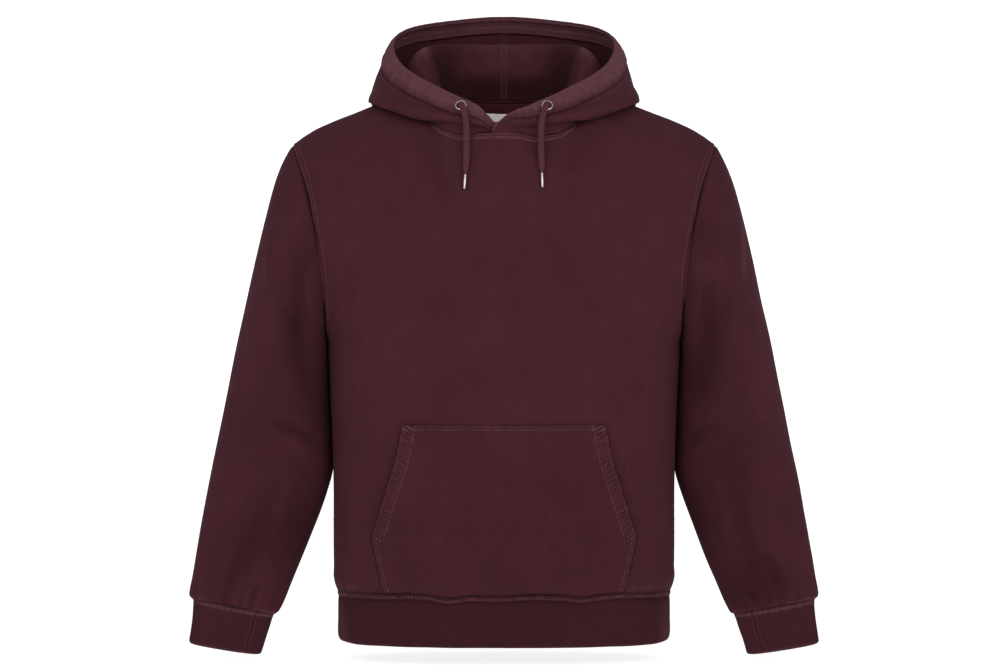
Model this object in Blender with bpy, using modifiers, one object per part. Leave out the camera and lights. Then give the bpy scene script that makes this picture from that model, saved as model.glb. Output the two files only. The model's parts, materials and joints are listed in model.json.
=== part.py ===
"""Pullover hoodie in heavy cotton fleece, filled out as if worn, with its hood laid back.

The origin is the middle of the neck opening, +Z is up and the front faces -Y. Sizes in the tables
are millimetres. Each panel is a smooth open surface worked out from a short table of sections,
and Solidify gives it its wall, inwards from the outer face.
"""

import math

import bpy
import numpy as np
from mathutils import Vector

MM = 0.001
SEAM_GAP = 0.3
FLEECE = 2.0
RIB = 2.6

# Torso sections, from the hem seam up. half_width is the side's, front and back the depths.
TORSO = {
    "z": (-619, -606, -580, -480, -400, -300, -200, -120, -60, 40),
    "half_width": (213.5, 216.5, 217.5, 218, 220, 224.5, 234, 252, 262, 262),
    "front": (112, 119, 123, 126, 128, 131, 132, 129, 124, 118),
    "back": (108, 114, 115, 113, 113, 118, 127, 130, 127, 120),
}
SQUARENESS = 2.3
HEM_Z = -619.0
SIDE_Y = 0.0
NECK_SHARE = 0.32
ROLL_SHARE = 0.4
ROLL_HEIGHT = 190.0
TIP_ROLL_HEIGHT = 120.0
NECK_LEAN = math.radians(42)

# The shoulder seam, from the neck out to the tip, where the sleeve is set in.
SHOULDER = {
    "x": (94, 140, 173, 181, 214.5, 242.5, 262, 270),
    "z": (28, 11, -2.2, -5.3, -17.8, -30, -42, -48.3),
}
NECK_POINT_TURN = 97.0

# Sleeve rings, from the armhole down to the cuff seam. Each ring runs from its outer point to its
# inner one, and depth is half of its front-to-back size. scoop bows the armhole towards the chest.
SLEEVE = {
    "along": (0, 0.01, 0.04, 0.1, 0.19, 0.28, 0.38, 0.49, 0.6, 0.71, 0.82, 0.92, 0.97, 1),
    "outer_x": (270, 272.5, 280, 291, 306, 319, 332, 347, 361, 375, 388, 398, 402, 398.5),
    "outer_z": (-48.3, -52, -66, -92, -143, -195, -255, -322, -392, -463, -533, -596, -620, -630),
    "inner_x": (226, 226.1, 225.8, 225.5, 224.5, 222.9, 221.5, 220, 218.9, 229, 249, 270, 286, 294.5),
    "inner_z": (-300, -301, -305, -312, -328, -348, -375, -412, -452, -497, -552, -603, -640, -649),
    "depth": (70, 70.5, 72, 74, 76, 77, 75, 71, 65, 56, 44, 34, 30, 21),
    "centre_y": (0, 0, 0, 1, 4, 8, 12, 16, 17, 13, 6, 0, -2, -2),
    "scoop": (14, 14, 13, 10, 6, 3, 1, 0, 0, 0, 0, 0, 0, 0),
}
CUFF = {
    "along": (0, 0.45, 1),
    "outer_x": (397.5, 399, 403),
    "outer_z": (-630.7, -656, -685),
    "inner_x": (295.5, 302.5, 311.5),
    "inner_z": (-649.8, -671, -700),
    "depth": (19, 17, 16),
    "centre_y": (-2, -3, -4),
    "scoop": (0, 0, 0),
}
BAND = {
    "z": (-683, -676, -650, -619.3),
    "half_width": (209.5, 211.5, 212, 211.5),
    "front": (106, 108.5, 110, 110),
    "back": (102, 104.5, 106, 106),
}

# The kangaroo pocket: half-widths down it, and how far its slanted openings stand off the front.
POCKET = {
    "down": (0, 0.1, 0.217, 0.42, 0.6, 0.655, 0.8, 1),
    "half_width": (126, 130.5, 136, 150, 162.3, 166, 159.3, 150),
    "gape": (0, 6, 10, 10, 6, 0, 0, 0),
}
POCKET_TOP_Z = -405.5
POCKET_SEAM_GAP = 1.0

# The drawcord: an eyelet on each side of the hood's hem, and the route of each free end from
# there to its metal tip, with x counted outwards from the middle.
EYELET_TURN = 31.0
EYELET_ALONG = 0.94
EYELET_RADIUS = 7.0
EYELET_WIRE = 1.1
CORD_RADIUS = 3.4
CORD_RISE = 4.0
CORD_POINTS = 20
AGLET_RADIUS = 1.6
AGLET_LENGTH = 19.0
DRAWCORD_LEFT = (
    (51.5, -111.5, -7), (49, -115.5, -15), (47.5, -116.5, -23), (46.8, -116.5, -32), (46.5, -116, -45),
    (46.5, -116.5, -60), (47, -118.5, -75), (48, -121.5, -91),
)
DRAWCORD_RIGHT = (
    (51.5, -111.5, -7), (49.2, -115.5, -15), (47.3, -116.5, -23), (46.3, -116.5, -32), (46, -116, -45),
    (46, -116.5, -60), (46.8, -118.5, -75), (47.2, -121.2, -89),
)
TAPE = 1.0
LABEL = 0.7

# Hood sections at turns round the neck, from the front middle (0) to the back middle (180). Each
# runs from the neck seam over a ridge, down to the low point of the bag and up its outer wall to
# the opening's edge. A reach is the distance out from the neck's axis.
NECK_AXIS_Y = -12.0
HOOD = {
    "turn": (-9, 0, 23, 43, 53, 64, 86, 98, 112, 123, 154, 180),
    "seam_reach": (93, 93, 98, 112, 115, 110, 99, 96, 95, 95, 93, 92),
    "seam_z": (-38, -38, -39, -34, -23.5, -2.5, 24.5, 28, 25, 22, 16, 15),
    "ridge_reach": (93, 93.6, 99, 113, 115.5, 109.5, 99, 99, 122, 128, 121, 117),
    "ridge_z": (-37.5, -35.5, -28, -24, -14.5, 9, 34, 38, 66, 80, 89, 89.5),
    "low_reach": (93.2, 94.2, 103, 121, 133, 143, 161, 164, 165, 164, 164, 162),
    "low_z": (-37.3, -33, -28.5, -24.5, -22, -15, 4.5, 5.5, 1, -20, -84, -104),
    "bulge_reach": (93, 94.6, 109, 129, 144, 155, 172, 174, 182, 190, 203, 207),
    "bulge_z": (-37, -29.5, -22, -14, -10, -6, 6, 10, 4, -4, -24, -30),
    "band_reach": (92.8, 93, 104, 116.5, 124, 131.6, 147, 157.5, 166, 173, 188, 191),
    "band_z": (-36, -26.5, -20, -9, 0, 10.6, 37, 56, 71, 83, 102, 110),
    "edge_reach": (92.5, 87, 93, 100, 106, 113, 133, 143, 153, 160, 174, 176),
    "edge_z": (-35.5, -22, -1, 14, 23, 32, 57, 74, 93, 105, 126, 134),
}


def smooth(knots, values, at, level_end=False):
    """The cubic curve through the values, read at each place, level where the values turn."""
    knots, values = np.asarray(knots, float), np.asarray(values, float)
    steps = np.diff(knots)
    rises = np.diff(values) / steps
    slopes = np.gradient(values, knots)
    slopes[1:-1][rises[:-1] * rises[1:] <= 0] = 0
    if level_end:
        slopes[-1] = 0
    at = np.clip(at, knots[0], knots[-1])
    index = np.clip(np.searchsorted(knots, at, side="right") - 1, 0, len(steps) - 1)
    span = steps[index]
    t = (at - knots[index]) / span
    start = values[index] * (1 + 2 * t) * (1 - t) ** 2 + slopes[index] * span * t * (1 - t) ** 2
    end = values[index + 1] * t**2 * (3 - 2 * t) + slopes[index + 1] * span * t**2 * (t - 1)
    return start + end


def table_at(table, key, column, at):
    """A column read at each place. A turn's columns end level, since the other half mirrors them."""
    return smooth(table[key], table[column], at, level_end=key == "turn")


def ease(t):
    t = np.clip(t, 0, 1)
    return t * t * (3 - 2 * t)


def round_neck(turn, reach, z):
    """The point at this turn and reach from the neck's axis. A turn is in degrees."""
    angle = np.radians(turn)
    return np.stack([reach * np.sin(angle), NECK_AXIS_Y - reach * np.cos(angle), z], -1)


# Turns of the hood's sections: past the middle, to the neck point, and on to the back middle.
CROSSING_TURNS = (-9, -4)
FRONT_TURNS = (0, 10, 22, 36, 48, 60, 72, 85, NECK_POINT_TURN)
BACK_TURNS = (NECK_POINT_TURN, 109, 121, 134, 147, 159, 170, 177, 180)
ROLL_ROWS = (0, 0.04, 0.14, 0.3, 0.5, 0.74, 1)


def neck_seam(turn):
    return round_neck(
        turn,
        table_at(HOOD, "turn", "seam_reach", turn),
        table_at(HOOD, "turn", "seam_z", turn),
    )


def torso_section(side, across, z, table=TORSO):
    """x and y of the torso's outer face. across is 0 at the middle and 1 at the side seam."""
    power = SQUARENESS / 2
    share = across**power / (across**power + (1 - across) ** power)
    angle = share * math.pi / 2
    width = table_at(table, "z", "half_width", z)
    depth = table_at(table, "z", "front" if side < 0 else "back", z)
    x = width * np.sin(angle) ** (1 / power)
    y = SIDE_Y + side * depth * np.clip(np.cos(angle), 0, 1) ** (1 / power)
    return x, y


def sleeve_ring(around, along, table=SLEEVE):
    """A point of the sleeve. around is 0 at the outer point, 90 at the front and 180 inside."""
    angle = np.radians(around)
    read = {name: table_at(table, "along", name, along) for name in table if name != "along"}
    middle_x = (read["outer_x"] + read["inner_x"]) / 2
    middle_z = (read["outer_z"] + read["inner_z"]) / 2
    x = middle_x + np.cos(angle) * (read["outer_x"] - middle_x)
    x = x - read["scoop"] * np.sin(angle) ** 2 * np.where(np.sin(angle) > 0, 1, 0.5)
    z = middle_z + np.cos(angle) * (read["outer_z"] - middle_z)
    return np.stack([x, read["centre_y"] - np.sin(angle) * read["depth"], z], -1)


def armhole(side, z):
    """The side edge of a body panel: the armhole seam, and the side seam below it."""
    top, bottom = SLEEVE["outer_z"][0], SLEEVE["inner_z"][0]
    cosine = np.clip((2 * z - top - bottom) / (top - bottom), -1, 1)
    around = np.degrees(np.arccos(cosine))
    seam = sleeve_ring(np.where(side < 0, around, -around), 0 * z)
    below = table_at(TORSO, "z", "half_width", z)
    under = z < bottom
    x = np.where(under, below, seam[..., 0])
    y = np.where(under, SIDE_Y, seam[..., 1])
    join = ease((z - bottom + 60) / 60)
    x = np.where(under, below + join * (SLEEVE["inner_x"][0] - 1 - below), x)
    return np.stack([x, y, z], -1)


def torso_top(side, across):
    """The top edge of a body panel: half of the neckline, then the shoulder seam."""
    middle_turn = 0 if side < 0 else 180
    turn = middle_turn + (NECK_POINT_TURN - middle_turn) * np.clip(across / NECK_SHARE, 0, 1)
    neck = neck_seam(turn)
    neck_point = neck_seam(np.array(NECK_POINT_TURN))
    out = np.clip((across - NECK_SHARE) / (1 - NECK_SHARE), 0, 1)
    tip_x = SHOULDER["x"][-1]
    x = neck_point[0] + (tip_x - neck_point[0]) * out
    y = neck_point[1] + (SLEEVE["centre_y"][0] - neck_point[1]) * out
    z = table_at(SHOULDER, "x", "z", x)
    on_neck = (across <= NECK_SHARE)[..., None]
    return np.where(on_neck, neck, np.stack([x, y, z], -1))


def half_torso(side, across, down):
    """A point of a body panel, across 0 to 1 from the middle, down 0 at the top edge."""
    top = torso_top(side, across)
    out = np.clip((across - NECK_SHARE) / (1 - NECK_SHARE), 0, 1)
    roll = ROLL_HEIGHT + (TIP_ROLL_HEIGHT - ROLL_HEIGHT) * out
    lean = NECK_LEAN * (1 - ease(across / NECK_SHARE))
    turned = lean + (math.pi / 2 - lean) * np.clip(down / ROLL_SHARE, 0, 1)
    drop = roll * (np.cos(lean) - np.cos(turned)) / np.cos(lean)
    forward = (np.sin(turned) - np.sin(lean)) / (1 - np.sin(lean))
    below = np.clip((down - ROLL_SHARE) / (1 - ROLL_SHARE), 0, 1)
    z = top[..., 2] - drop - below * (top[..., 2] - roll - HEM_Z)
    x, y = torso_section(side, across, z)
    x = top[..., 0] + (x - top[..., 0]) * forward
    y = top[..., 1] + (y - top[..., 1]) * forward
    return np.stack([x, y, z], -1)


def torso(side, across, down):
    """A point of the front (side -1) or back (1) panel. across runs from -1 to 1."""
    half = np.abs(across)
    point = half_torso(side, half, down)
    edge = half_torso(side, np.ones_like(half), down)
    out = np.clip((half - NECK_SHARE) / (1 - NECK_SHARE), 0, 1)
    point = point + (out**2)[..., None] * (armhole(side, edge[..., 2]) - edge)
    point[..., 0] *= np.sign(across)
    return point


def hood_profile(turn, along):
    """reach and z of the hood. along is 0 at the neck seam and 1 at the opening's edge."""
    names = ("seam", "ridge", "low", "bulge", "band", "edge")
    stops = np.array([0, 0.18, 0.45, 0.65, 0.88, 1.0])
    headings = np.array([(0.25, 0.97), (1, 0), (1, 0), (0, 1), (-0.2, 0.98), (-0.8, 0.6)])
    leaves = np.array([0.8, 0.4, 0.9, 1.1, 1, 0])
    arrives = np.array([0, 0.4, 0.3, 1.1, 1, 1.1])
    reach = np.stack([table_at(HOOD, "turn", name + "_reach", turn) for name in names])
    z = np.stack([table_at(HOOD, "turn", name + "_z", turn) for name in names])
    index = np.clip(np.searchsorted(stops, along, side="right") - 1, 0, len(names) - 2)
    t = (along - stops[index]) / (stops[index + 1] - stops[index])

    def pick(values, which):
        return np.take_along_axis(values, which[None], 0)[0]

    start = pick(reach, index), pick(z, index)
    end = pick(reach, index + 1), pick(z, index + 1)
    chord = np.hypot(end[0] - start[0], end[1] - start[1])
    found = []
    for axis in (0, 1):
        leave = headings[index, axis] * leaves[index] * chord
        arrive = headings[index + 1, axis] * arrives[index + 1] * chord
        found.append(
            start[axis] * (1 + 2 * t) * (1 - t) ** 2
            + leave * t * (1 - t) ** 2
            + end[axis] * t**2 * (3 - 2 * t)
            + arrive * t**2 * (t - 1)
        )
    return found


def hood(turn, along, side=1, tuck=0):
    """A point of a hood panel. side is 1 for +X, and tuck moves its front in under the other."""
    under = tuck * ease((24 - turn) / 14)
    profile_turn = turn if tuck == 0 else turn * ease((turn - 4) / 16)
    reach, z = hood_profile(profile_turn, along)
    clear = SEAM_GAP * (1 + 6 * np.exp(-(((turn - 72) / 12) ** 2))) * (1 - along)
    point = round_neck(turn, reach - under - clear + SEAM_GAP, z + clear - under * along)
    point[..., 0] = side * (point[..., 0] + SEAM_GAP / 2)
    return point


def front_depth(x, z):
    """How far forward of the side seams the front panel's outer face is, below the armholes."""
    width = table_at(TORSO, "z", "half_width", z)
    share = np.clip(np.abs(x) / width, 0, 1)
    return table_at(TORSO, "z", "front", z) * (1 - share**SQUARENESS) ** (1 / SQUARENESS)


def pocket(across, down):
    """A point of the kangaroo pocket's outer face. Its slanted openings stand off the front."""
    half_width = np.interp(down, POCKET["down"], POCKET["half_width"])
    gape = np.interp(down, POCKET["down"], POCKET["gape"])
    x = across * half_width
    z = POCKET_TOP_Z + (HEM_Z - POCKET_TOP_Z) * down
    gap = POCKET_SEAM_GAP + gape * np.abs(across) ** 2 + 3 * np.sin(math.pi * down) ** 2
    return np.stack([x, -front_depth(x, z) - gap - FLEECE, z], -1)


def normals(points, wrap=False):
    """Unit normals of a grid of points, along rows crossed with down columns."""
    if wrap:
        along_row = np.roll(points, -1, 1) - np.roll(points, 1, 1)
    else:
        along_row = np.gradient(points, axis=1)
    down_column = np.gradient(points, axis=0)
    normal = np.cross(along_row, down_column)
    return normal / np.linalg.norm(normal, axis=-1, keepdims=True)


def material(name, colour, roughness=0.9, metallic=0.0):
    made = bpy.data.materials.new(name)
    made.use_nodes = True
    shader = made.node_tree.nodes["Principled BSDF"]
    shader.inputs["Base Color"].default_value = (*colour, 1)
    shader.inputs["Roughness"].default_value = roughness
    shader.inputs["Metallic"].default_value = metallic
    made.diffuse_color = (*colour, 1)
    return made


def add_mesh(name, vertices, faces, look):
    mesh = bpy.data.meshes.new(name)
    mesh.from_pydata([tuple(MM * value for value in vertex) for vertex in vertices], [], faces)
    mesh.materials.append(look)
    mesh.shade_smooth()
    made = bpy.data.objects.new(name, mesh)
    hoodie.objects.link(made)
    return made


def add_sheet(name, points, thickness, look, wrap=False, flip=False):
    """A wall whose outer face is this grid of points, which faces rows cross columns."""
    rows, columns = points.shape[:2]
    faces = []
    for row in range(rows - 1):
        for column in range(columns if wrap else columns - 1):
            right = (column + 1) % columns
            corners = [
                row * columns + column,
                row * columns + right,
                (row + 1) * columns + right,
                (row + 1) * columns + column,
            ]
            faces.append(corners[::-1] if flip else corners)
    made = add_mesh(name, points.reshape(-1, 3), faces, look)
    wall = made.modifiers.new("wall", "SOLIDIFY")
    wall.thickness = thickness * MM
    wall.offset = -1
    return made


def grid(rows, columns):
    return np.meshgrid(np.asarray(rows, float), np.asarray(columns, float), indexing="ij")


def mirrored(half):
    """Shares from -1 to 1 from those of one half, which start at 0."""
    return [-share for share in half[:0:-1]] + list(half)


def neck_columns(side):
    """Shares across a body panel's neckline, one for each turn that the hood has too."""
    turns = np.array(FRONT_TURNS if side < 0 else BACK_TURNS[::-1])
    return NECK_SHARE * np.abs(turns - turns[0]) / abs(NECK_POINT_TURN - turns[0])


def armhole_rows():
    """Shares down a body panel, from the top edge to the armpit."""
    tip_z, armpit_z = SLEEVE["outer_z"][0], SLEEVE["inner_z"][0]
    roll_z = tip_z - TIP_ROLL_HEIGHT
    armpit = ROLL_SHARE + (1 - ROLL_SHARE) * (roll_z - armpit_z) / (roll_z - HEM_Z)
    return [*(ROLL_SHARE * np.array(ROLL_ROWS)), *np.linspace(ROLL_SHARE, armpit, 4)[1:]]


def armhole_turns():
    """Angles round the armhole at those rows, so that a sleeve's wall meets the panels' edges."""
    rows = np.array(armhole_rows())
    edge = half_torso(-1, np.ones_like(rows), rows)
    tip_z, armpit_z = SLEEVE["outer_z"][0], SLEEVE["inner_z"][0]
    cosine = np.clip((2 * edge[:, 2] - tip_z - armpit_z) / (tip_z - armpit_z), -1, 1)
    front = np.degrees(np.arccos(cosine))
    return [*front, *(360 - front[-2:0:-1])]


def add_torso():
    rows = armhole_rows()
    rows = [*rows, *np.linspace(rows[-1], 0.94, 5)[1:], 0.975, 1]
    for name, side in (("front_body", -1), ("back_body", 1)):
        half = [*neck_columns(side), 0.43, 0.56, 0.7, 0.84, 0.95, 1]
        down, across = grid(rows, mirrored(half))
        points = torso(side, across, down)
        points[..., 1] += side * SEAM_GAP / 2
        add_sheet(name, points, FLEECE, fleece, flip=side < 0)


def add_sleeves():
    along, turned = grid(SLEEVE["along"], armhole_turns())
    behind = np.clip(-np.sin(np.radians(turned)), 0, 1)
    clear = SEAM_GAP * (3 + 4 * behind**3) * (1 - ease(along / 0.2))
    cuff_along, cuff_turned = grid(CUFF["along"], np.linspace(0, 360, 20, endpoint=False))
    for name, side in (("left", -1), ("right", 1)):
        flip = side < 0
        sleeve = sleeve_ring(turned, along)
        sleeve[..., 0] = (sleeve[..., 0] + clear) * side
        add_sheet("sleeve_" + name, sleeve, FLEECE, fleece, wrap=True, flip=flip)
        cuff = sleeve_ring(cuff_turned, cuff_along, CUFF)
        cuff[..., 0] *= side
        add_sheet("cuff_" + name, cuff, RIB, rib, wrap=True, flip=flip)


def add_waistband():
    z, turned = grid(BAND["z"], np.linspace(0, 2 * math.pi, 40, endpoint=False))
    power = 2 / SQUARENESS
    sine, cosine = np.sin(turned), np.cos(turned)
    depth = np.where(
        cosine > 0, table_at(BAND, "z", "front", z), table_at(BAND, "z", "back", z)
    )
    x = table_at(BAND, "z", "half_width", z) * np.sign(sine) * np.abs(sine) ** power
    y = -depth * np.sign(cosine) * np.abs(cosine) ** power
    add_sheet("waistband", np.stack([x, y, z], -1), RIB, rib, wrap=True)


def add_hood():
    alongs = (0, 0.09, 0.18, 0.27, 0.36, 0.45, 0.55, 0.65, 0.77, 0.88, 0.94, 1)
    along, turn = grid(alongs, (*CROSSING_TURNS, *FRONT_TURNS, *BACK_TURNS[1:]))
    left = hood(turn, along, side=-1, tuck=FLEECE + 12 * SEAM_GAP)
    add_sheet("hood_left", left, FLEECE, fleece, flip=True)
    add_sheet("hood_right", hood(turn, along), FLEECE, fleece)


def add_pocket():
    down, across = grid(
        (0, 0.05, 0.217, 0.36, 0.5, 0.655, 0.8, 0.9, 0.95, 1),
        mirrored((0, 0.2, 0.4, 0.6, 0.78, 0.92, 1)),
    )
    add_sheet("kangaroo_pocket", pocket(across, down), FLEECE, fleece, flip=True)


def add_inside_back(name, across, down, thickness, look):
    """A strip on the inner face of the back panel, made from that panel's points."""
    down, across = grid(down, across)
    points = torso(1, across, down)
    points = points - normals(points) * (FLEECE + 3 * SEAM_GAP + thickness)
    add_sheet(name, points, thickness, look, flip=True)


def hood_place(side, turn, along, tuck=0):
    """A point of the hood's outer face and its outward normal."""
    step = 0.01
    near = np.array([along, along + step, along]), np.array([turn, turn, turn + 1.0])
    here, up, round_to = hood(near[1], near[0], side, tuck)
    normal = np.cross(round_to - here, up - here) * side
    return here, normal / np.linalg.norm(normal)


def add_tube(name, points, radius, look):
    curve = bpy.data.curves.new(name, "CURVE")
    curve.dimensions = "3D"
    curve.bevel_depth = radius * MM
    curve.bevel_resolution = 2
    curve.use_fill_caps = True
    spline = curve.splines.new("POLY")
    spline.points.add(len(points) - 1)
    for control, point in zip(spline.points, points):
        control.co = (*(MM * point), 1)
    curve.materials.append(look)
    hoodie.objects.link(bpy.data.objects.new(name, curve))


def add_drawcord(name, side, drop):
    """An eyelet in the hood's hem, the free end of the drawcord that hangs from it and its tip."""
    place, normal = hood_place(side, EYELET_TURN, EYELET_ALONG)
    facing = Vector(normal).to_track_quat("Z", "Y")
    bpy.ops.mesh.primitive_torus_add(
        location=MM * (place + normal * (EYELET_WIRE + SEAM_GAP)),
        rotation=facing.to_euler(),
        major_segments=16,
        minor_segments=6,
        major_radius=(EYELET_RADIUS - EYELET_WIRE) * MM,
        minor_radius=EYELET_WIRE * MM,
    )
    ring = bpy.context.object
    ring.name = "eyelet_" + name
    ring.data.materials.append(metal)
    ring.data.shade_smooth()
    for holder in list(ring.users_collection):
        holder.objects.unlink(ring)
    hoodie.objects.link(ring)

    knots = np.array([place, place + normal * CORD_RISE, *(np.array(drop) * (side, 1, 1))])
    lengths = np.cumsum([0, *np.linalg.norm(np.diff(knots, axis=0), axis=1)])
    at = np.linspace(0, lengths[-1], CORD_POINTS)
    route = np.stack([smooth(lengths, knots[:, axis], at) for axis in range(3)], -1)
    add_tube("drawcord_" + name, route, CORD_RADIUS, cord)

    along = (route[-1] - route[-2]) / np.linalg.norm(route[-1] - route[-2])
    middle = route[-1] + along * (SEAM_GAP + AGLET_LENGTH / 2)
    bpy.ops.mesh.primitive_cylinder_add(
        location=MM * middle,
        rotation=Vector(along).to_track_quat("Z", "Y").to_euler(),
        vertices=10,
        radius=AGLET_RADIUS * MM,
        depth=AGLET_LENGTH * MM,
    )
    tip = bpy.context.object
    tip.name = "aglet_" + name
    tip.data.materials.append(metal)
    for holder in list(tip.users_collection):
        holder.objects.unlink(tip)
    hoodie.objects.link(tip)


def main():
    add_torso()
    add_sleeves()
    add_waistband()
    add_hood()
    add_pocket()
    tape_across = mirrored(list(neck_columns(1)[:-4]))
    add_inside_back("neck_tape", tape_across, (0.012, 0.04), TAPE, fleece)
    label_across = mirrored((0, 0.035, 0.07))
    add_inside_back("neck_label", label_across, (0.052, 0.08, 0.11, 0.14, 0.17), LABEL, woven)
    add_drawcord("left", -1, DRAWCORD_LEFT)
    add_drawcord("right", 1, DRAWCORD_RIGHT)


for old in list(bpy.data.objects):
    bpy.data.objects.remove(old)
hoodie = bpy.data.collections.new("Pullover hoodie")
bpy.context.scene.collection.children.link(hoodie)
fleece = material("Washed burgundy fleece", (0.075, 0.022, 0.030))
rib = material("Washed burgundy rib", (0.050, 0.015, 0.020))
cord = material("Burgundy cotton cord", (0.090, 0.030, 0.040))
metal = material("Gunmetal", (0.30, 0.25, 0.25), roughness=0.35, metallic=1.0)
woven = material("Grey woven label", (0.42, 0.38, 0.38))
main()
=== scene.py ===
# %% [markdown]
# # A pullover hoodie in washed fleece
#
# A hoodie is a handful of flat pieces of knitted cloth, sewn edge to edge. Worn, they fill out into
# smooth tubes and bowls. What tells us that it is cloth is small: the valley at each seam, the
# puckers beside it, rows of stitches, soft creases and the pale wear on whatever stands proud.
#
# Each piece of cloth here is a fine grid of points worked out from a short table of the garment's
# sizes. Creases, puckers and folded hems are heights added to that grid, and the stitches then lie
# on the finished surface.

# %% Load the frame and keep its size
import json
import math

import bpy
import numpy as np
from mathutils import Matrix, Vector

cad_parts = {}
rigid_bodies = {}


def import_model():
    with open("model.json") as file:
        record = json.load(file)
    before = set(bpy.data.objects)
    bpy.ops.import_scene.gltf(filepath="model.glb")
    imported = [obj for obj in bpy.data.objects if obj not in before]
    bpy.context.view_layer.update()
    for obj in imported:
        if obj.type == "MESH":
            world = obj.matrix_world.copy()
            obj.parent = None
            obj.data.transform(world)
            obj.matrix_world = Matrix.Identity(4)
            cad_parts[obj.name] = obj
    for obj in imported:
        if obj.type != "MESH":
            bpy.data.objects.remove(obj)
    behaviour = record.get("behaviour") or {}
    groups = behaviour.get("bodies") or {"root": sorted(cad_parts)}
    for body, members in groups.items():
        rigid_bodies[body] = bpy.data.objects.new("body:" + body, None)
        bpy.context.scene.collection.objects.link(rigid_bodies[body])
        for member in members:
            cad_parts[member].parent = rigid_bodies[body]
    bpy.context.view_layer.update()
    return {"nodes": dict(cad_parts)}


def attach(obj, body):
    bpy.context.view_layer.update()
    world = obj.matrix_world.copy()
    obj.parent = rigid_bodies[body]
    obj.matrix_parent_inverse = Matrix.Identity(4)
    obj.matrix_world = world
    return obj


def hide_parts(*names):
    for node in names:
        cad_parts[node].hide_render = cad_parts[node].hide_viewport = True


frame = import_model()
bpy.ops.object.select_all(action="DESELECT")
print("nodes:", len(frame["nodes"]))

# %% [markdown]
# ## Sizes
#
# The tables hold the garment's measures in millimetres, one column for each quantity and one place
# in every column for each level. They are the sizes of the frame's own solids, so each piece of
# cloth lies within a few millimetres of its solid. A smooth curve runs through each column, so a
# table stays short.

# %% Sizes of the cloth, in millimetres
MM = 0.001
SEAM_GAP = 0.3
FLEECE = 2.0
RIB = 2.6
TORSO = {
    "z": (-619, -606, -580, -480, -400, -300, -200, -120, -60, 40),
    "half_width": (213.5, 216.5, 217.5, 218, 220, 224.5, 234, 252, 262, 262),
    "front": (112, 119, 123, 126, 128, 131, 132, 129, 124, 118),
    "back": (108, 114, 115, 113, 113, 118, 127, 130, 127, 120),
}
SQUARENESS = 2.3
HEM_Z = -619.0
NECK_SHARE = 0.32
ROLL_SHARE = 0.4
ROLL_HEIGHT = 190.0
TIP_ROLL_HEIGHT = 120.0
NECK_LEAN = math.radians(42)
NECK_POINT_TURN = 97.0
NECK_AXIS_Y = -12.0
SHOULDER = {
    "x": (94, 140, 173, 181, 214.5, 242.5, 262, 270),
    "z": (28, 11, -2.2, -5.3, -17.8, -30, -42, -48.3),
}
SLEEVE = {
    "along": (0, 0.01, 0.04, 0.1, 0.19, 0.28, 0.38, 0.49, 0.6, 0.71, 0.82, 0.92, 0.97, 1),
    "outer_x": (270, 272.5, 280, 291, 306, 319, 332, 347, 361, 375, 388, 398, 402, 398.5),
    "outer_z": (-48.3, -52, -66, -92, -143, -195, -255, -322, -392, -463, -533, -596, -620, -630),
    "inner_x": (
        226, 226.1, 225.8, 225.5, 224.5, 222.9, 221.5, 220, 218.9, 229, 249, 270, 286, 294.5,
    ),
    "inner_z": (-300, -301, -305, -312, -328, -348, -375, -412, -452, -497, -552, -603, -640, -649),
    "depth": (70, 70.5, 72, 74, 76, 77, 75, 71, 65, 56, 44, 34, 30, 21),
    "centre_y": (0, 0, 0, 1, 4, 8, 12, 16, 17, 13, 6, 0, -2, -2),
    "scoop": (14, 14, 13, 10, 6, 3, 1, 0, 0, 0, 0, 0, 0, 0),
}
CUFF = {
    "along": (0, 0.45, 1),
    "outer_x": (397.5, 399, 403),
    "outer_z": (-630.7, -656, -685),
    "inner_x": (295.5, 302.5, 311.5),
    "inner_z": (-649.8, -671, -700),
    "depth": (19, 17, 16),
    "centre_y": (-2, -3, -4),
    "scoop": (0, 0, 0),
}
BAND = {
    "z": (-683, -676, -650, -619.3),
    "half_width": (209.5, 211.5, 212, 211.5),
    "front": (106, 108.5, 110, 110),
    "back": (102, 104.5, 106, 106),
}
POCKET = {
    "down": (0, 0.1, 0.217, 0.42, 0.6, 0.655, 0.8, 1),
    "half_width": (126, 130.5, 136, 150, 162.3, 166, 159.3, 150),
    "gape": (0, 6, 10, 10, 6, 0, 0, 0),
}
POCKET_TOP_Z = -405.5
POCKET_SEAM_GAP = 1.0
HOOD = {
    "turn": (-9, 0, 23, 43, 53, 64, 86, 98, 112, 123, 154, 180),
    "seam_reach": (93, 93, 98, 112, 115, 110, 99, 96, 95, 95, 93, 92),
    "seam_z": (-38, -38, -39, -34, -23.5, -2.5, 24.5, 28, 25, 22, 16, 15),
    "ridge_reach": (93, 93.6, 99, 113, 115.5, 109.5, 99, 99, 122, 128, 121, 117),
    "ridge_z": (-37.5, -35.5, -28, -24, -14.5, 9, 34, 38, 66, 80, 89, 89.5),
    "low_reach": (93.2, 94.2, 103, 121, 133, 143, 161, 164, 165, 164, 164, 162),
    "low_z": (-37.3, -33, -28.5, -24.5, -22, -15, 4.5, 5.5, 1, -20, -84, -104),
    "bulge_reach": (93, 94.6, 109, 129, 144, 155, 172, 174, 182, 190, 203, 207),
    "bulge_z": (-37, -29.5, -22, -14, -10, -6, 6, 10, 4, -4, -24, -30),
    "band_reach": (92.8, 93, 104, 116.5, 124, 131.6, 147, 157.5, 166, 173, 188, 191),
    "band_z": (-36, -26.5, -20, -9, 0, 10.6, 37, 56, 71, 83, 102, 110),
    "edge_reach": (92.5, 87, 93, 100, 106, 113, 133, 143, 153, 160, 174, 176),
    "edge_z": (-35.5, -22, -1, 14, 23, 32, 57, 74, 93, 105, 126, 134),
}

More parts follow.
